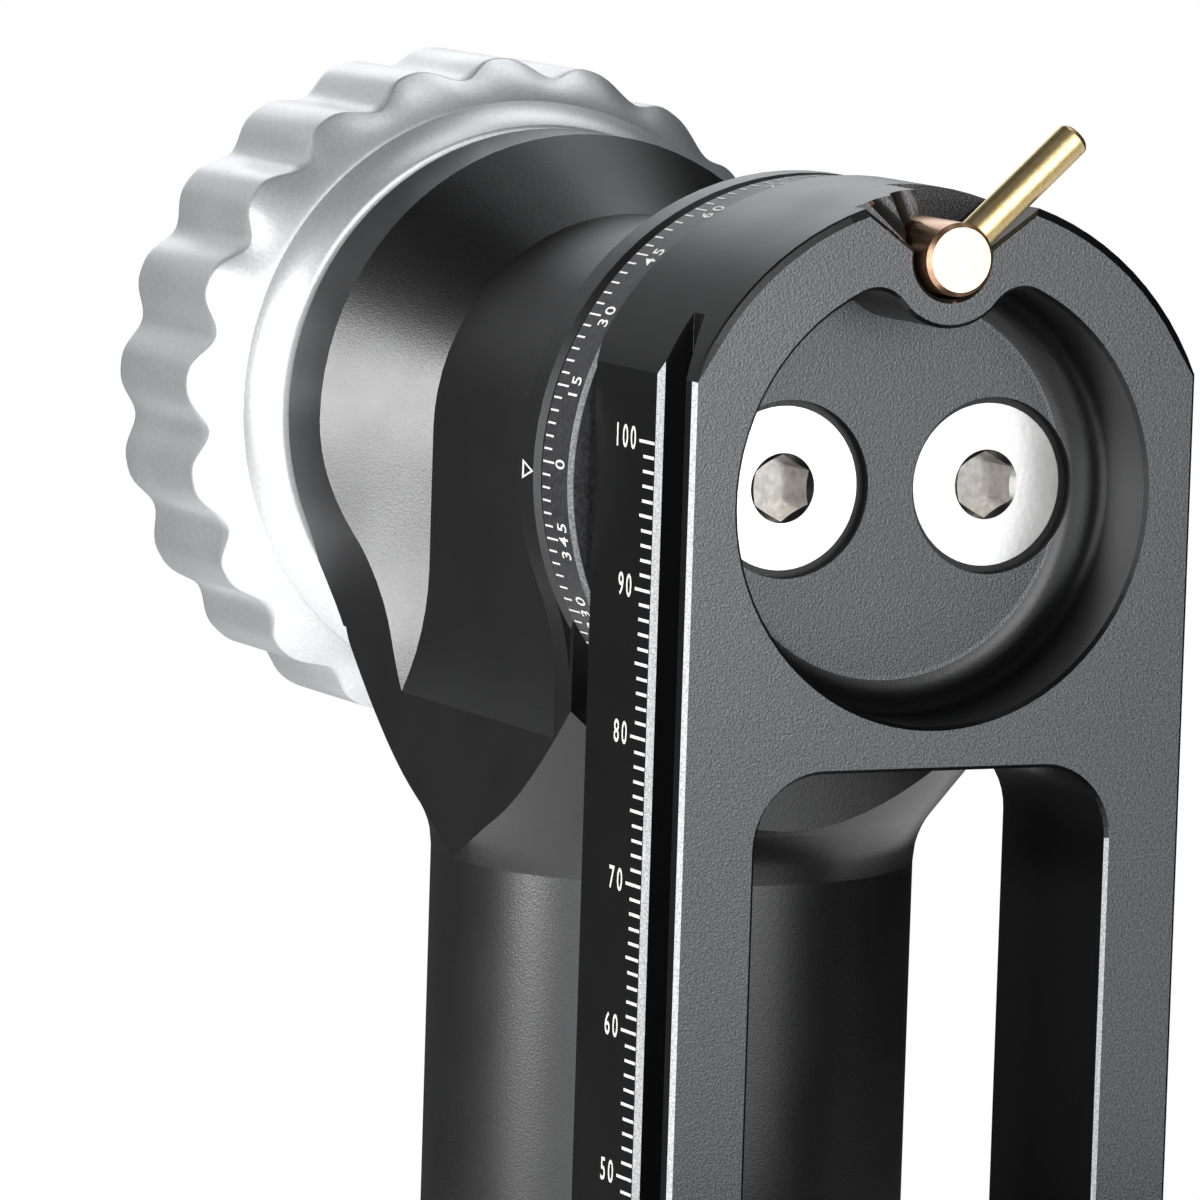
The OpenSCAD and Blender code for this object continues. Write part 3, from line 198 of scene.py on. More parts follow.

# Swing arm: a flat bar of aluminium with a dovetail along each side, milled, blasted with fine
# beads on its broad faces and dyed black. Its long bevels that face front and to the left are
# painted bright as a highlight.


def grain_group():
    tree = bpy.data.node_groups.new("bead_grain", "ShaderNodeTree")
    tree.interface.new_socket(name="Scale", in_out="INPUT", socket_type="NodeSocketFloat")
    for socket in ("Height", "Shade", "Cloud"):
        tree.interface.new_socket(name=socket, in_out="OUTPUT", socket_type="NodeSocketFloat")
    enter = tree.nodes.new("NodeGroupInput")
    leave = tree.nodes.new("NodeGroupOutput")
    place = tree.nodes.new("ShaderNodeTexCoord")
    pits = tree.nodes.new("ShaderNodeTexVoronoi")
    pits.feature = "SMOOTH_F1"
    pits.inputs["Smoothness"].default_value = 0.6
    grit = tree.nodes.new("ShaderNodeTexNoise")
    grit.inputs["Detail"].default_value = 3.0
    cloud = tree.nodes.new("ShaderNodeTexNoise")
    cloud.inputs["Scale"].default_value = 140.0
    cloud.inputs["Detail"].default_value = 2.0
    join = tree.nodes.new("ShaderNodeMath")
    spread = tree.nodes.new("ShaderNodeMapRange")
    spread.inputs["From Min"].default_value = 0.35
    spread.inputs["From Max"].default_value = 0.65
    for texture in (pits, grit, cloud):
        tree.links.new(place.outputs["Object"], texture.inputs["Vector"])
    tree.links.new(enter.outputs["Scale"], pits.inputs["Scale"])
    tree.links.new(enter.outputs["Scale"], grit.inputs["Scale"])
    tree.links.new(pits.outputs["Distance"], join.inputs[0])
    tree.links.new(grit.outputs["Fac"], join.inputs[1])
    tree.links.new(join.outputs[0], leave.inputs["Height"])
    tree.links.new(grit.outputs["Fac"], spread.inputs["Value"])
    tree.links.new(spread.outputs["Result"], leave.inputs["Shade"])
    tree.links.new(cloud.outputs["Fac"], leave.inputs["Cloud"])
    return tree


bead_grain = grain_group()
rough_spread, grain_depth = 0.02, 0.00003


def blasted(name, dark, light, roughness, scale, bump, metallic=0.0, specular=0.8):
    finish = bpy.data.materials.new(name)
    finish.use_nodes = True
    tree = finish.node_tree
    shader = tree.nodes["Principled BSDF"]
    shader.inputs["Metallic"].default_value = metallic
    shader.inputs["Specular IOR Level"].default_value = specular
    grain = tree.nodes.new("ShaderNodeGroup")
    grain.node_tree = bead_grain
    grain.inputs["Scale"].default_value = scale
    tone = tree.nodes.new("ShaderNodeMix")
    tone.data_type = "RGBA"
    tone.inputs["A"].default_value = (*dark, 1)
    tone.inputs["B"].default_value = (*light, 1)
    rough = tree.nodes.new("ShaderNodeMapRange")
    rough.inputs["From Min"].default_value = 0.3
    rough.inputs["From Max"].default_value = 0.7
    rough.inputs["To Min"].default_value = roughness - rough_spread
    rough.inputs["To Max"].default_value = roughness + rough_spread
    dent = tree.nodes.new("ShaderNodeBump")
    dent.inputs["Strength"].default_value = bump
    dent.inputs["Distance"].default_value = grain_depth
    tree.links.new(grain.outputs["Shade"], tone.inputs["Factor"])
    tree.links.new(grain.outputs["Cloud"], rough.inputs["Value"])
    tree.links.new(tone.outputs["Result"], shader.inputs["Base Color"])
    tree.links.new(rough.outputs["Result"], shader.inputs["Roughness"])
    tree.links.new(grain.outputs["Height"], dent.inputs["Height"])
    tree.links.new(dent.outputs["Normal"], shader.inputs["Normal"])
    return finish


# A dressed piece is its CAD node's mesh with the CAD's own shading directions. pick gives a face its
# finish, rim picks edges for a bevel, trim moves points, ease changes shading directions, and all
# crisp edges are softened.
weld, crisp_cosine = 2e-6, 0.985
flat_angle, merge_angle, sharp_angle = 0.002, 0.004, 0.35


def dressed(node, body, finishes, soften, pick=None, rim=None, rim_width=0.0, trim=None, ease=None):
    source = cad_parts[node].data
    corners = [corner.vector.copy() for corner in source.corner_normals]
    mesh = source.copy()
    mesh.materials.clear()
    for finish in finishes:
        mesh.materials.append(finish)
    bm = bmesh.new()
    bm.from_mesh(mesh)
    facing = bm.loops.layers.float_vector.new("facing")
    count = 0
    for face in bm.faces:
        for loop in face.loops:
            loop[facing] = corners[count]
            count += 1
    bmesh.ops.remove_doubles(bm, verts=bm.verts, dist=weld)
    for vert in bm.verts if trim else ():
        trim(vert)

    def is_crisp(edge):
        if len(edge.link_loops) != 2:
            return False
        a, b = edge.link_loops
        near = a[facing].dot(b.link_loop_next[facing])
        away = a.link_loop_next[facing].dot(b[facing])
        return min(near, away) < crisp_cosine

    flat = [e for e in bm.edges if e.is_manifold and not is_crisp(e) and e.calc_face_angle() < flat_angle]
    bmesh.ops.dissolve_limit(bm, angle_limit=merge_angle, verts=[], edges=flat)
    if ease:
        bm.normal_update()
        ease(bm, facing)
    if rim:
        rims = [e for e in bm.edges if e.is_manifold and is_crisp(e) and rim(e)]
        cut = bmesh.ops.bevel(bm, geom=rims, offset=rim_width, offset_type="OFFSET", affect="EDGES",
                              segments=1, profile=0.5, clamp_overlap=False, material=-1)
        for face in cut["faces"]:
            face.normal_update()
            for loop in face.loops:
                loop[facing] = face.normal
    crisp = [e for e in bm.edges if e.is_manifold and is_crisp(e) and e.calc_face_angle() > sharp_angle]
    fresh = set()
    if soften > 0:
        cut = bmesh.ops.bevel(bm, geom=crisp, offset=soften, offset_type="OFFSET", affect="EDGES",
                              segments=2, profile=0.5, clamp_overlap=True, material=-1)
        fresh = set(cut["faces"])
    bm.normal_update()
    normals = []
    for face in bm.faces:
        face.smooth = True
        face.material_index = pick(face) if pick else 0
        for loop in face.loops:
            facings = [loop[facing]]
            if face in fresh:
                facings = [near[facing] for near in loop.vert.link_loops if near.face not in fresh]
                facings = facings or [near.normal for near in loop.vert.link_faces]
            total = sum(facings, Vector((0, 0, 0)))
            normals.append(total.normalized() if total.length > 1e-6 else face.normal.copy())
    bm.to_mesh(mesh)
    bm.free()
    mesh.normals_split_custom_set(normals)
    piece = bpy.data.objects.new(node + "_dressed", mesh)
    scene.collection.objects.link(piece)
    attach(piece, body)
    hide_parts(node)


arm_half = 0.019
arm_front = 0.042
tilt_height = 0.175
arm_blasted = blasted("arm_blasted", (0.014, 0.0144, 0.0162), (0.080, 0.0824, 0.0895), 0.37, 6500, 0.55)
# The near-black milled finish is the milled faces' own colour, and in the dovetail groove it is painted shade.
arm_milled_and_shade = blasted("arm_milled_and_shade", (0.0012, 0.0012, 0.0014), (0.0028, 0.0028, 0.0031), 0.32, 5200, 0.15,
                     specular=0.45)
arm_bevel = blasted("arm_bevel", (0.36, 0.363, 0.368), (0.70, 0.705, 0.715), 0.45, 7000, 0.4)
notch_worn = blasted("notch_worn", (0.0030, 0.0030, 0.0032), (0.0060, 0.0058, 0.0056), 0.38, 3000, 0.3)
worn = notch_worn.node_tree
rub = worn.nodes.new("ShaderNodeTexNoise")
rub.inputs["Scale"].default_value = 620.0
rub.inputs["Detail"].default_value = 4.0
rub_place = worn.nodes.new("ShaderNodeTexCoord")
rub_edge = worn.nodes.new("ShaderNodeMapRange")
rub_edge.inputs["From Min"].default_value = 0.62
rub_edge.inputs["From Max"].default_value = 0.69
rub_tone = worn.nodes.new("ShaderNodeMix")
rub_tone.data_type = "RGBA"
rub_tone.inputs["B"].default_value = (0.62, 0.40, 0.22, 1)
worn_shader = worn.nodes["Principled BSDF"]
worn.links.new(rub_place.outputs["Object"], rub.inputs["Vector"])
worn.links.new(rub.outputs["Fac"], rub_edge.inputs["Value"])
worn.links.new(rub_edge.outputs["Result"], rub_tone.inputs["Factor"])
worn.links.new(worn_shader.inputs["Base Color"].links[0].from_socket, rub_tone.inputs["A"])
worn.links.new(rub_tone.outputs["Result"], worn_shader.inputs["Base Color"])
worn.links.new(rub_edge.outputs["Result"], worn_shader.inputs["Metallic"])
screw_set, screw_well, arm_top, slot_top = 0.00777, 0.0066, 0.0207, 0.0184
recess_floor, groove_side, groove_front = arm_front + 0.00803, 0.0150, arm_front + 0.004
notch_low, notch_half, notch_back = 0.0153, 0.0064, arm_front + 0.0075
pin_rise, pin_seat, worn_side = 0.0163, 0.0040, 0.0005
blasted_face, milled_and_shaded_face, highlight_bevel_face, worn_face = range(4)


def arm_finish(face):
    side = face.normal
    middle = face.calc_center_median()
    up = middle.z - tilt_height
    over_pin = up > notch_low and abs(middle.x) < notch_half or math.hypot(middle.x, up - pin_rise) < pin_seat
    over_pin = over_pin and middle.x < worn_side and middle.y < notch_back
    if over_pin and side.y > -0.98 and math.hypot(middle.x, up) < arm_top - 0.0004:
        return worn_face
    # Bevels beside the arm's left side and below the slot that face front and left get the bright bevel colour,
    # a painted highlight.
    beside = middle.x < 0.0005 - arm_half or up < -slot_top
    if abs(side.z) < 0.05 and side.y < -0.3 and side.x < -0.3 and beside:
        return highlight_bevel_face
    from_screw = min(math.hypot(middle.x - s * screw_set, up) for s in (-1, 1))
    well = from_screw < screw_well and middle.y > recess_floor
    # Front faces in the dovetail groove, under its lips, are made near-black: painted shade.
    shaded_groove = abs(middle.x) > groove_side and middle.y > groove_front
    return blasted_face if side.y < -0.985 and not well and not shaded_groove else milled_and_shaded_face


def arm_rim(edge):
    a, b = (vert.co for vert in edge.verts)
    inside = max(abs(a.x), abs(b.x)) < arm_half - 0.0008
    return inside and max(abs(a.y - arm_front), abs(b.y - arm_front)) < 1e-5


dressed("swing_arm", "swing", (arm_blasted, arm_milled_and_shade, arm_bevel, notch_worn), 0.00006,
        pick=arm_finish, rim=arm_rim, rim_width=0.00026)

# Millimetre scale: ticks and numbers printed in white on the arm's left side, one tick for each
# millimetre from 0 near the foot to 100 beside the tilt axis.
print_white = blasted("print_white", (0.80, 0.79, 0.75), (0.90, 0.89, 0.86), 0.55, 9000, 0.05)
print_lift = 0.00002
letter_wide, letter_bold = 1.42, 0.012


def add_patch(bm, corners):
    bm.faces.new([bm.verts.new(corner) for corner in corners])


def add_words(bm, words, height, pitch, place):
    for index, letter in enumerate(words):
        curve = bpy.data.curves.new("letter", "FONT")
        curve.body = letter
        curve.align_x = "CENTER"
        curve.offset = letter_bold
        holder = bpy.data.objects.new("letter", curve)
        scene.collection.objects.link(holder)
        shape = bpy.data.meshes.new_from_object(holder)
        bpy.data.objects.remove(holder)
        low = min(v.co.y for v in shape.vertices)
        high = max(v.co.y for v in shape.vertices)
        left = min(v.co.x for v in shape.vertices)
        right = max(v.co.x for v in shape.vertices)
        wide = pitch * letter_wide
        tall = height / (high - low)
        made = [bm.verts.new(place((v.co.x - (left + right) / 2) * wide + (index - (len(words) - 1) / 2) * pitch,
                                   (v.co.y - (low + high) / 2) * tall)) for v in shape.vertices]
        for face in shape.polygons:
            bm.faces.new([made[i] for i in face.vertices])


def printed(name, bm, body):
    bmesh.ops.recalc_face_normals(bm, faces=bm.faces)
    mesh = bpy.data.meshes.new(name)
    bm.to_mesh(mesh)
    bm.free()
    mesh.materials.append(print_white)
    piece = bpy.data.objects.new(name, mesh)
    scene.collection.objects.link(piece)
    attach(piece, body)


tick_start = arm_front + 0.00568
tick_half = 0.00011
ten_tick, five_tick, one_tick = 0.00235, 0.0020, 0.00165
rule_digit, rule_pitch, rule_gap = 0.00158, 0.00122, 0.00268
scale_zero = tilt_height - 0.0965
rule_bm = bmesh.new()
for mark in range(0, 101):
    z = scale_zero + mark * 0.001
    length = ten_tick if mark % 10 == 0 else five_tick if mark % 5 == 0 else one_tick
    x = -arm_half - print_lift
    add_patch(rule_bm, [(x, tick_start, z - tick_half), (x, tick_start + length, z - tick_half),
                        (x, tick_start + length, z + tick_half), (x, tick_start, z + tick_half)])
    if mark % 10 == 0:
        words = str(mark)
        middle = tick_start + rule_gap + len(words) * rule_pitch / 2
        add_words(rule_bm, words, rule_digit, rule_pitch, lambda u, v: (x, middle - u, z + 0.0001 + v))
printed("millimetre_scale", rule_bm, "swing")

# Arm screws: two countersunk hex socket screws of bright stainless steel that hold the arm to
# the tilt disc. Their hex sockets are coloured darker as painted shade.
bright_steel = blasted("bright_steel", (0.84, 0.835, 0.82), (0.90, 0.895, 0.88), 0.26, 2500, 0.06, metallic=1.0)
socket_shade_steel = blasted("socket_shade_steel", (0.38, 0.36, 0.335), (0.47, 0.45, 0.425), 0.20, 1800, 0.15, metallic=1.0)
socket_r = 0.00245


# Faces inside each hex socket get the darker steel, painted shade in the recess.
def socket_finish(face):
    reach = max(min(math.hypot(v.co.x - s * screw_set, v.co.z - tilt_height) for s in (-1, 1))
                for v in face.verts)
    return 1 if reach < socket_r else 0


dressed("arm_screws", "swing", (bright_steel, socket_shade_steel), 0.00012, socket_finish)
black_steel = blasted("black_steel", (0.012, 0.012, 0.012), (0.022, 0.022, 0.022), 0.38, 3000, 0.10)
dressed("arm_stop_screws", "swing", (black_steel,), 0.00012)

# Lock: a bronze pin through the arm's top with a brass lever rod pressed into its side, and the
# rubber ring that keeps the pin where it is set.
bronze = blasted("bronze", (0.62, 0.36, 0.22), (0.72, 0.46, 0.30), 0.30, 2600, 0.15, metallic=1.0)
pin_face_highlight = blasted("pin_face_highlight", (0.80, 0.66, 0.51), (0.87, 0.75, 0.60), 0.34, 2600, 0.10, metallic=1.0)
brass = blasted("brass", (0.83, 0.61, 0.27), (0.92, 0.74, 0.40), 0.36, 2600, 0.15, metallic=1.0)
rubber = blasted("rubber", (0.012, 0.012, 0.012), (0.02, 0.02, 0.02), 0.7, 4000, 0.2)
# The pin's front end face is painted a paler bronze as its highlight.
dressed("lock_pin", "lock", (bronze, pin_face_highlight), 0.00012, lambda face: 1 if face.normal.y < -0.9 else 0)
dressed("lock_lever", "lock", (brass,), 0.00010)
dressed("lock_o_ring", "lock_slider", (rubber,), 0)

# Tilt disc: a turned disc behind the arm that carries the degree scale. It is dyed black, with a
# bevel on each edge that was cut brighter.
disc_r, disc_edge = 0.02035, 0.0007
disc_black = blasted("disc_black", (0.014, 0.014, 0.015), (0.044, 0.044, 0.047), 0.40, 4200, 0.3)
disc_bevel = blasted("disc_bevel", (0.07, 0.071, 0.073), (0.24, 0.243, 0.250), 0.42, 6000, 0.5)


def disc_finish(face):
    middle = face.calc_center_median()
    out = math.hypot(middle.x, middle.z - tilt_height)
    return 1 if out > disc_r - disc_edge and 0.3 < abs(face.normal.y) < 0.95 else 0


dressed("tilt_disc", "swing", (disc_black, disc_bevel), 0.00006, disc_finish)

# Degree scale: ticks each 2.5 degrees and numbers each 15 degrees around the disc, zero on the
# left, with their tops to the back.
disc_back = arm_front + 0.021
dial_step, dial_half, dial_inset = 2.5, 0.00007, 0.00078
number_tick, plain_tick = 0.00175, 0.00122
dial_digit, dial_pitch, dial_row = 0.00142, 0.00098, 0.00345


def on_disc(angle, y):
    reach = disc_r + print_lift
    return (-reach * math.cos(angle), y, tilt_height + reach * math.sin(angle))


dial_bm = bmesh.new()
for step in range(144):
    angle = math.radians((step + 1) * dial_step)
    length = number_tick if step % 6 == 0 else plain_tick
    half = dial_half / disc_r
    back = disc_back - dial_inset
    add_patch(dial_bm, [on_disc(angle - half, back), on_disc(angle - half, back - length),
                        on_disc(angle + half, back - length), on_disc(angle + half, back)])
    if step % 6 == 0:
        middle = disc_back - dial_row
        add_words(dial_bm, str(int(step * dial_step)), dial_digit, dial_pitch,
                  lambda u, v: on_disc(angle + u / disc_r, middle + v))
printed("degree_scale", dial_bm, "swing")

# Upright: one turned and milled piece of aluminium with the waisted tilt hub above and the post
# below, dyed satin black. A small white triangle on the hub's flange points to the scale.
satin_black = blasted("satin_black", (0.0022, 0.0022, 0.0026), (0.0048, 0.0048, 0.0054), 0.35, 6000, 0.2)
hub_r = 0.0204
post_axis = arm_front + 0.040


# The web's lower rear corner is trimmed to the cone of the neck.
neck_foot_r, neck_foot, neck_slope = 0.0184, -0.0259, math.tan(math.radians(37))
corner_low, corner_high, corner_back = -0.0154, -0.0075, 0.019


def neck_turned(vert):
    across, back, up = abs(vert.co.x), vert.co.y - post_axis, vert.co.z - tilt_height
    past_hub = math.hypot(across, up) > hub_r + 0.00004
    if corner_low < up < corner_high and past_hub and back > corner_back:
        neck_r = neck_foot_r + (up - neck_foot) * neck_slope
        vert.co.y = post_axis + min(back, math.sqrt(neck_r ** 2 - across ** 2))


# The flank is flat between the hub's cone and the neck. Its shading turns evenly from one to the
# other over that stretch.
flank_cuts, flank_cut, flank_middle, flank_bend = 9, 0.0012, -0.005, 2200
flank_low, flank_high = -0.016, 0.003


def on_flank(face):
    middle = face.calc_center_median()
    return -0.54 < face.normal.y < -0.49 and abs(middle.x) > 0.011 and middle.y > arm_front + 0.045


def flank_eased(bm, facing):
    for step in range(flank_cuts):
        flank = [face for face in bm.faces if on_flank(face)]
        reach = set(flank)
        for face in flank:
            reach.update(face.edges)
            reach.update(face.verts)
        bmesh.ops.bisect_plane(bm, geom=list(reach), dist=1e-7, plane_no=(0, 0, 1),
                               plane_co=(0, 0, tilt_height - flank_cut * (step + 0.5)))
        bm.normal_update()
    for face in bm.faces:
        for loop in face.loops if on_flank(face) else ():
            up = loop.vert.co.z - tilt_height
            if flank_low < up < flank_high:
                lean = flank_bend * (up - flank_middle) ** 2
                level = Vector((loop[facing].x, loop[facing].y, 0)).normalized()
                loop[facing] = level * math.sqrt(1 - lean ** 2) + Vector((0, 0, lean))


dressed("upright", "frame", (satin_black,), 0.00012, trim=neck_turned, ease=flank_eased)
index_bm = bmesh.new()
index_outer = [(0.02165, 0.0), (0.02345, 0.00068), (0.02345, -0.00068)]
index_inner = [(0.02205, 0.0), (0.02315, 0.00042), (0.02315, -0.00042)]
for i in range(3):
    j = (i + 1) % 3
    ring = (index_outer[i], index_outer[j], index_inner[j], index_inner[i])
    add_patch(index_bm, [(-(hub_r + print_lift) * math.cos(z / hub_r), arm_front + y,
                          tilt_height + hub_r * math.sin(z / hub_r)) for y, z in ring])
printed("index_mark", index_bm, "frame")
dressed("upright_screws", "frame", (black_steel,), 0.00012)

# Tilt knob: turned from silver aluminium with shallow rounded scallops milled around its grip, a
# coned collar in front and a line turned between collar and bevel. A black cap is pressed into its
# back and a brass thread insert into its bore.


def turned_group():
    tree = bpy.data.node_groups.new("turned_lines", "ShaderNodeTree")
    for socket, kind in (("Centre", "NodeSocketVector"), ("Across", "NodeSocketVector"),
                         ("Scale", "NodeSocketFloat")):
        tree.interface.new_socket(name=socket, in_out="INPUT", socket_type=kind)
    tree.interface.new_socket(name="Lines", in_out="OUTPUT", socket_type="NodeSocketFloat")
    enter = tree.nodes.new("NodeGroupInput")
    leave = tree.nodes.new("NodeGroupOutput")
    place = tree.nodes.new("ShaderNodeTexCoord")
    from_centre = tree.nodes.new("ShaderNodeVectorMath")
    from_centre.operation = "SUBTRACT"
    flat = tree.nodes.new("ShaderNodeVectorMath")
    flat.operation = "MULTIPLY"
    reach = tree.nodes.new("ShaderNodeVectorMath")
    reach.operation = "LENGTH"
    step = tree.nodes.new("ShaderNodeMath")
    step.operation = "MULTIPLY"
    lines = tree.nodes.new("ShaderNodeTexNoise")
    lines.noise_dimensions = "1D"
    lines.inputs["Scale"].default_value = 1.0
    lines.inputs["Detail"].default_value = 3.0
    tree.links.new(place.outputs["Object"], from_centre.inputs[0])
    tree.links.new(enter.outputs["Centre"], from_centre.inputs[1])
    tree.links.new(from_centre.outputs["Vector"], flat.inputs[0])
    tree.links.new(enter.outputs["Across"], flat.inputs[1])
    tree.links.new(flat.outputs["Vector"], reach.inputs[0])
    tree.links.new(reach.outputs["Value"], step.inputs[0])
    tree.links.new(enter.outputs["Scale"], step.inputs[1])
    tree.links.new(step.outputs[0], lines.inputs["W"])
    tree.links.new(lines.outputs["Fac"], leave.inputs["Lines"])
    return tree


turned_lines = turned_group()
line_scale, line_depth = 5200.0, 0.00002


def turned(name, dark, light, roughness, centre, across, metallic=1.0, bump=0.25):
    finish = blasted(name, dark, light, roughness, 3400, 0.12, metallic, 0.6)
    tree = finish.node_tree
    shader = tree.nodes["Principled BSDF"]
    rings = tree.nodes.new("ShaderNodeGroup")
    rings.node_tree = turned_lines
    rings.inputs["Centre"].default_value = centre
    rings.inputs["Across"].default_value = across
    rings.inputs["Scale"].default_value = line_scale
    cut = tree.nodes.new("ShaderNodeBump")
    cut.inputs["Strength"].default_value = bump
    cut.inputs["Distance"].default_value = line_depth
    tree.links.new(rings.outputs["Lines"], cut.inputs["Height"])
    tree.links.new(shader.inputs["Normal"].links[0].from_socket, cut.inputs["Normal"])
    tree.links.new(cut.outputs["Normal"], shader.inputs["Normal"])
    return finish


silver_dark, silver_light = (0.78, 0.79, 0.80), (0.86, 0.87, 0.88)
silver = turned("knob_silver", silver_dark, silver_light, 0.38, (0, 0, tilt_height), (1, 0, 1), 0.82)
knob_front = arm_front + 0.0648
valley, lobes, lobe_turn, lobe_power = 0.0012, 21, math.radians(14.0), 1.5
bevel_end, bevel_lean = 0.0073, 1.2
# The outline's points: radius, distance from the knob's front, share of the scallops' depth.
knob_outline = [(0.0174, 0.0034, 0), (0.0174, 0.0004, 0), (0.0178, 0.0, 0), (0.0203, 0.00001, 0),
                (0.0206, 0.0002, 0), (0.0221, 0.0030, 0), (0.0221, 0.0032, 0), (0.02195, 0.00335, 0),
                (0.02195, 0.00355, 0), (0.02225, 0.0037, 0), (0.0249, 0.00688, 1), (0.025, 0.00715, 1),
                (0.025, 0.0074, 1), (0.025, 0.0192, 1), (0.0249, 0.0198, 1),
                (0.0245, 0.0203, 0.9), (0.0232, 0.0216, 0.4), (0.0228, 0.0220, 0.2), (0.0222, 0.0222, 0),
                (0.0172, 0.02219, 0), (0.0168, 0.0219, 0), (0.0168, 0.0200, 0)]
knob_bm = bmesh.new()
chain = [knob_bm.verts.new((r, y, 0)) for r, y, share in knob_outline]
for a, b in zip(chain, chain[1:]):
    knob_bm.edges.new((a, b))
shares = {round(y, 6): share for r, y, share in knob_outline}
bmesh.ops.spin(knob_bm, geom=knob_bm.verts[:] + knob_bm.edges[:], cent=(0, 0, 0), axis=(0, 1, 0),
               dvec=(0, 0, 0), angle=math.tau, steps=lobes * 16, use_merge=True)
for vert in knob_bm.verts:
    share = shares[round(vert.co.y, 6)]
    angle = math.atan2(vert.co.z, vert.co.x) - lobe_turn
    wave = 0.5 + 0.5 * math.cos(lobes * angle)
    reach = math.hypot(vert.co.x, vert.co.z)
    drop = share * valley * wave ** lobe_power
    if share and vert.co.y < bevel_end:
        vert.co.y -= drop * bevel_lean
    scale = (reach - drop) / reach
    vert.co.x *= scale
    vert.co.z *= scale
    vert.co += Vector((0, knob_front, tilt_height))
bmesh.ops.recalc_face_normals(knob_bm, faces=knob_bm.faces)
for face in knob_bm.faces:
    face.smooth = True
knob_mesh = bpy.data.meshes.new("tilt_knob_grip")
knob_bm.to_mesh(knob_mesh)
knob_bm.free()
knob_mesh.materials.append(silver)
knob_mesh.set_sharp_from_angle(angle=math.radians(34))
knob = bpy.data.objects.new("tilt_knob_grip", knob_mesh)
scene.collection.objects.link(knob)
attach(knob, "tilt_lock")
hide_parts("tilt_knob")
cap_black = turned("cap_black", (0.010, 0.010, 0.011), (0.022, 0.022, 0.023), 0.40,
                   (0, 0, tilt_height), (1, 0, 1), 0.0)
dressed("tilt_knob_cap", "tilt_lock", (cap_black,), 0.0002)
dressed("tilt_knob_insert", "tilt_lock", (brass,), 0.0001)

# Tilt shaft and bearings, inside the hub: a ground steel shaft with its spacer, ball bearings,
# sprung washers and the fibre washer that the knob presses on.


def dress_all(pieces, finish, soften):
    for node, body in pieces:
        dressed(node, body, (finish,), soften)


steel_dark, steel_light = (0.50, 0.50, 0.51), (0.60, 0.60, 0.61)
ground_steel = turned("ground_steel", steel_dark, steel_light, 0.28, (0, 0, tilt_height), (1, 0, 1))
bearing_steel = blasted("bearing_steel", (0.62, 0.62, 0.63), (0.70, 0.70, 0.71), 0.18, 2600, 0.04, metallic=1.0)
spring_steel = blasted("spring_steel", (0.30, 0.30, 0.31), (0.40, 0.39, 0.38), 0.34, 1800, 0.12, metallic=1.0)
brake_fibre = blasted("brake_fibre", (0.045, 0.040, 0.034), (0.090, 0.080, 0.068), 0.75, 1500, 0.6)
dress_all((("tilt_shaft", "swing"), ("tilt_spacer", "swing")), ground_steel, 0.00015)
dress_all((("tilt_inner_races", "swing"), ("tilt_outer_races", "frame"), ("tilt_balls", "frame")),
          bearing_steel, 0)
dressed("tilt_spring_washers", "swing", (spring_steel,), 0)
dressed("tilt_brake_washer", "swing", (brake_fibre,), 0)

# Lens carriage: the block that slides along the arm's dovetail and the platform screwed to it,
# milled from bar, blasted and dyed black like the arm. Steel guide pins are pressed into both.
carriage_black = blasted("carriage_black", (0.012, 0.012, 0.0135), (0.042, 0.0425, 0.046), 0.44, 5000, 0.8)
dress_all((("carriage_body", "carriage"), ("lens_platform", "carriage")), carriage_black, 0.0003)
pin_steel = blasted("pin_steel", (0.52, 0.52, 0.53), (0.62, 0.62, 0.63), 0.24, 2400, 0.05, metallic=1.0)
dress_all((("arm_jaw_guide_pins", "carriage"), ("lens_jaw_guide_pins", "carriage")), pin_steel, 0.00015)
dressed("platform_screws", "carriage", (pin_steel,), 0.0001)

# Clamp jaws: milled, blasted and dyed like the carriage, one that grips the arm's dovetail and one
# that grips the dovetail of the lens foot.
dress_all((("arm_clamp_jaw", "arm_jaw"), ("lens_clamp_jaw", "lens_jaw")), carriage_black, 0.0003)

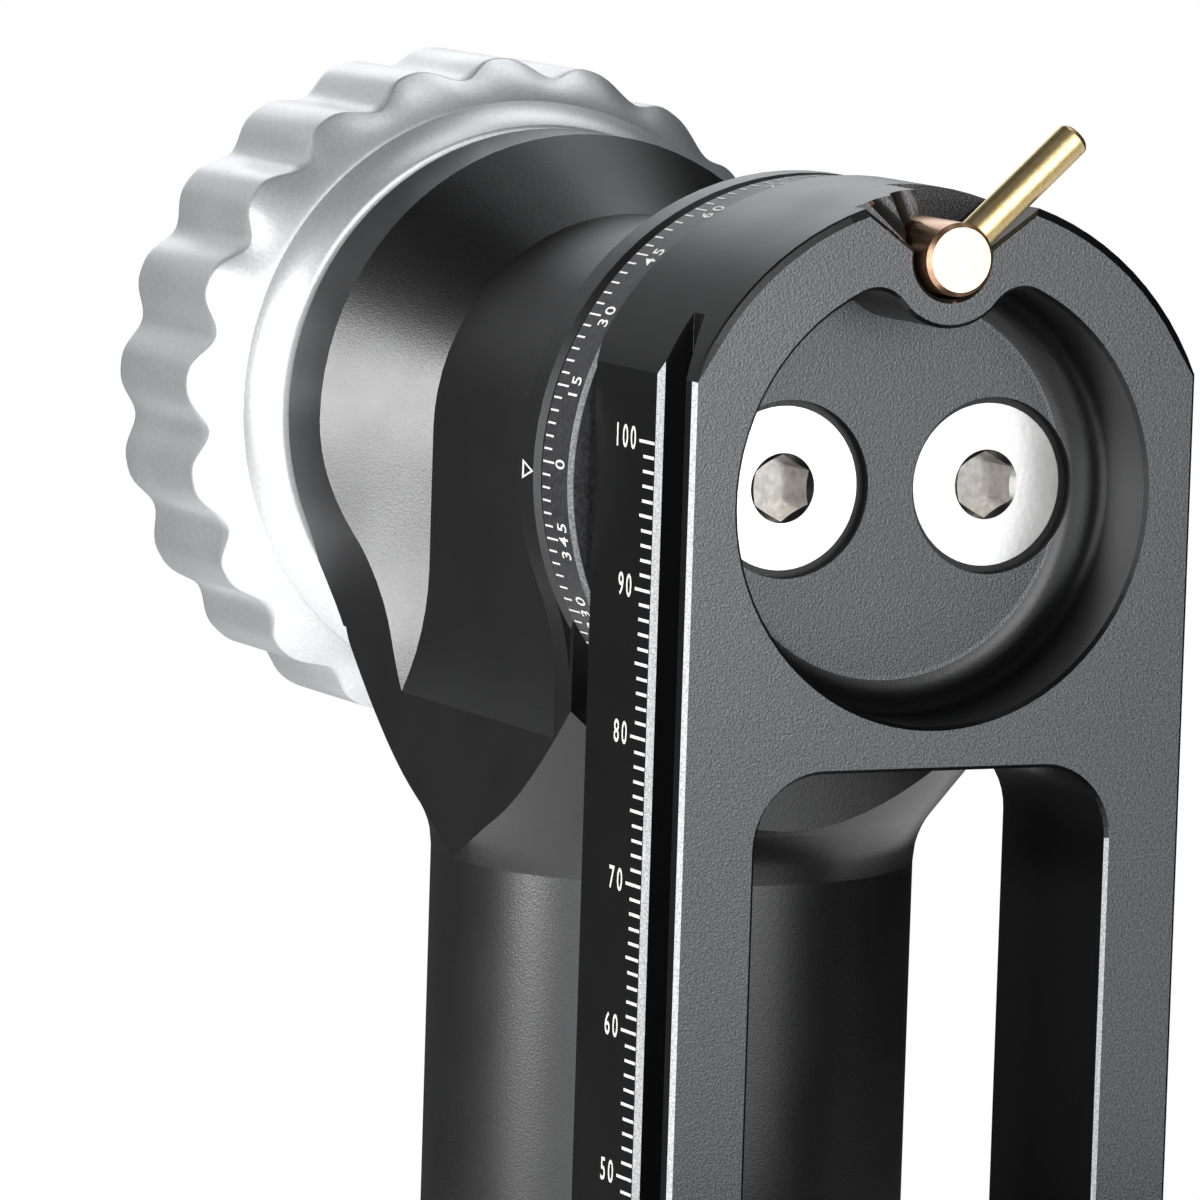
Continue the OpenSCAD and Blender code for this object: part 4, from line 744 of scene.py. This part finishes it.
# Clamp knobs: small knobs of silver aluminium, scalloped like the tilt knob, on steel screws with a
# thrust washer each. One closes the arm's jaw and one the lens jaw.
for side, body, centre, across in (("arm", "arm_lock", (0, 0.0347, 0.100), (0, 1, 1)),
                                   ("lens", "lens_lock", (0, 0, 0.084), (1, 0, 1))):
    clamp_silver = turned(side + "_knob_silver", silver_dark, silver_light, 0.40, centre, across)
    clamp_steel = turned(side + "_screw_steel", steel_dark, steel_light, 0.30, centre, across)
    dressed(side + "_clamp_knob", body, (clamp_silver,), 0.0003)
    dressed(side + "_clamp_screw", body, (clamp_steel,), 0.0001)
    dressed(side + "_clamp_washer", body, (clamp_steel,), 0.0001)

# Pan base: a turned plate with the steel bush for the tripod's stud, and the screws that hold the
# spindle to it.
pan_axis, pan_across = (0, 0, 0), (1, 1, 0)
pan_black = turned("pan_black", (0.006, 0.006, 0.0068), (0.014, 0.014, 0.0150), 0.34, pan_axis, pan_across, 0.0)
pan_steel = turned("pan_steel", steel_dark, steel_light, 0.30, pan_axis, pan_across)
dressed("base_plate", "base", (pan_black,), 0.0004)
dressed("tripod_bush", "base", (pan_steel,), 0.0002)
dressed("base_screws", "base", (pin_steel,), 0.0001)

# Pan bearing, inside the housing: the steel spindle on the base plate with its spacer and nut, and
# two ball bearings that carry the housing.
dress_all((("pan_spindle", "base"), ("pan_spacer", "base"), ("pan_spindle_nut", "base")), pan_steel, 0.0002)
dress_all((("pan_inner_races", "base"), ("pan_outer_races", "frame"), ("pan_balls", "frame")), bearing_steel, 0)

# Pan housing: turned about the pan axis, milled along its arm to the post's foot and dyed black. Its
# cap is held by screws.
dress_all((("pan_housing", "frame"), ("pan_cap", "frame")), pan_black, 0.0004)
dressed("pan_cap_screws", "frame", (pin_steel,), 0.0001)

# Pan brake: a brass shoe inside the housing that the stud of the silver pan knob presses on the
# spindle.
pan_knob_silver = turned("pan_knob_silver", silver_dark, silver_light, 0.40, (0, 0, 0.0254), (0, 1, 1))
dressed("pan_brake_shoe", "pan_shoe", (brass,), 0.0001)
dressed("pan_knob", "pan_lock", (pan_knob_silver,), 0.0003)
dressed("pan_knob_stud", "pan_lock", (pan_steel,), 0.0001)
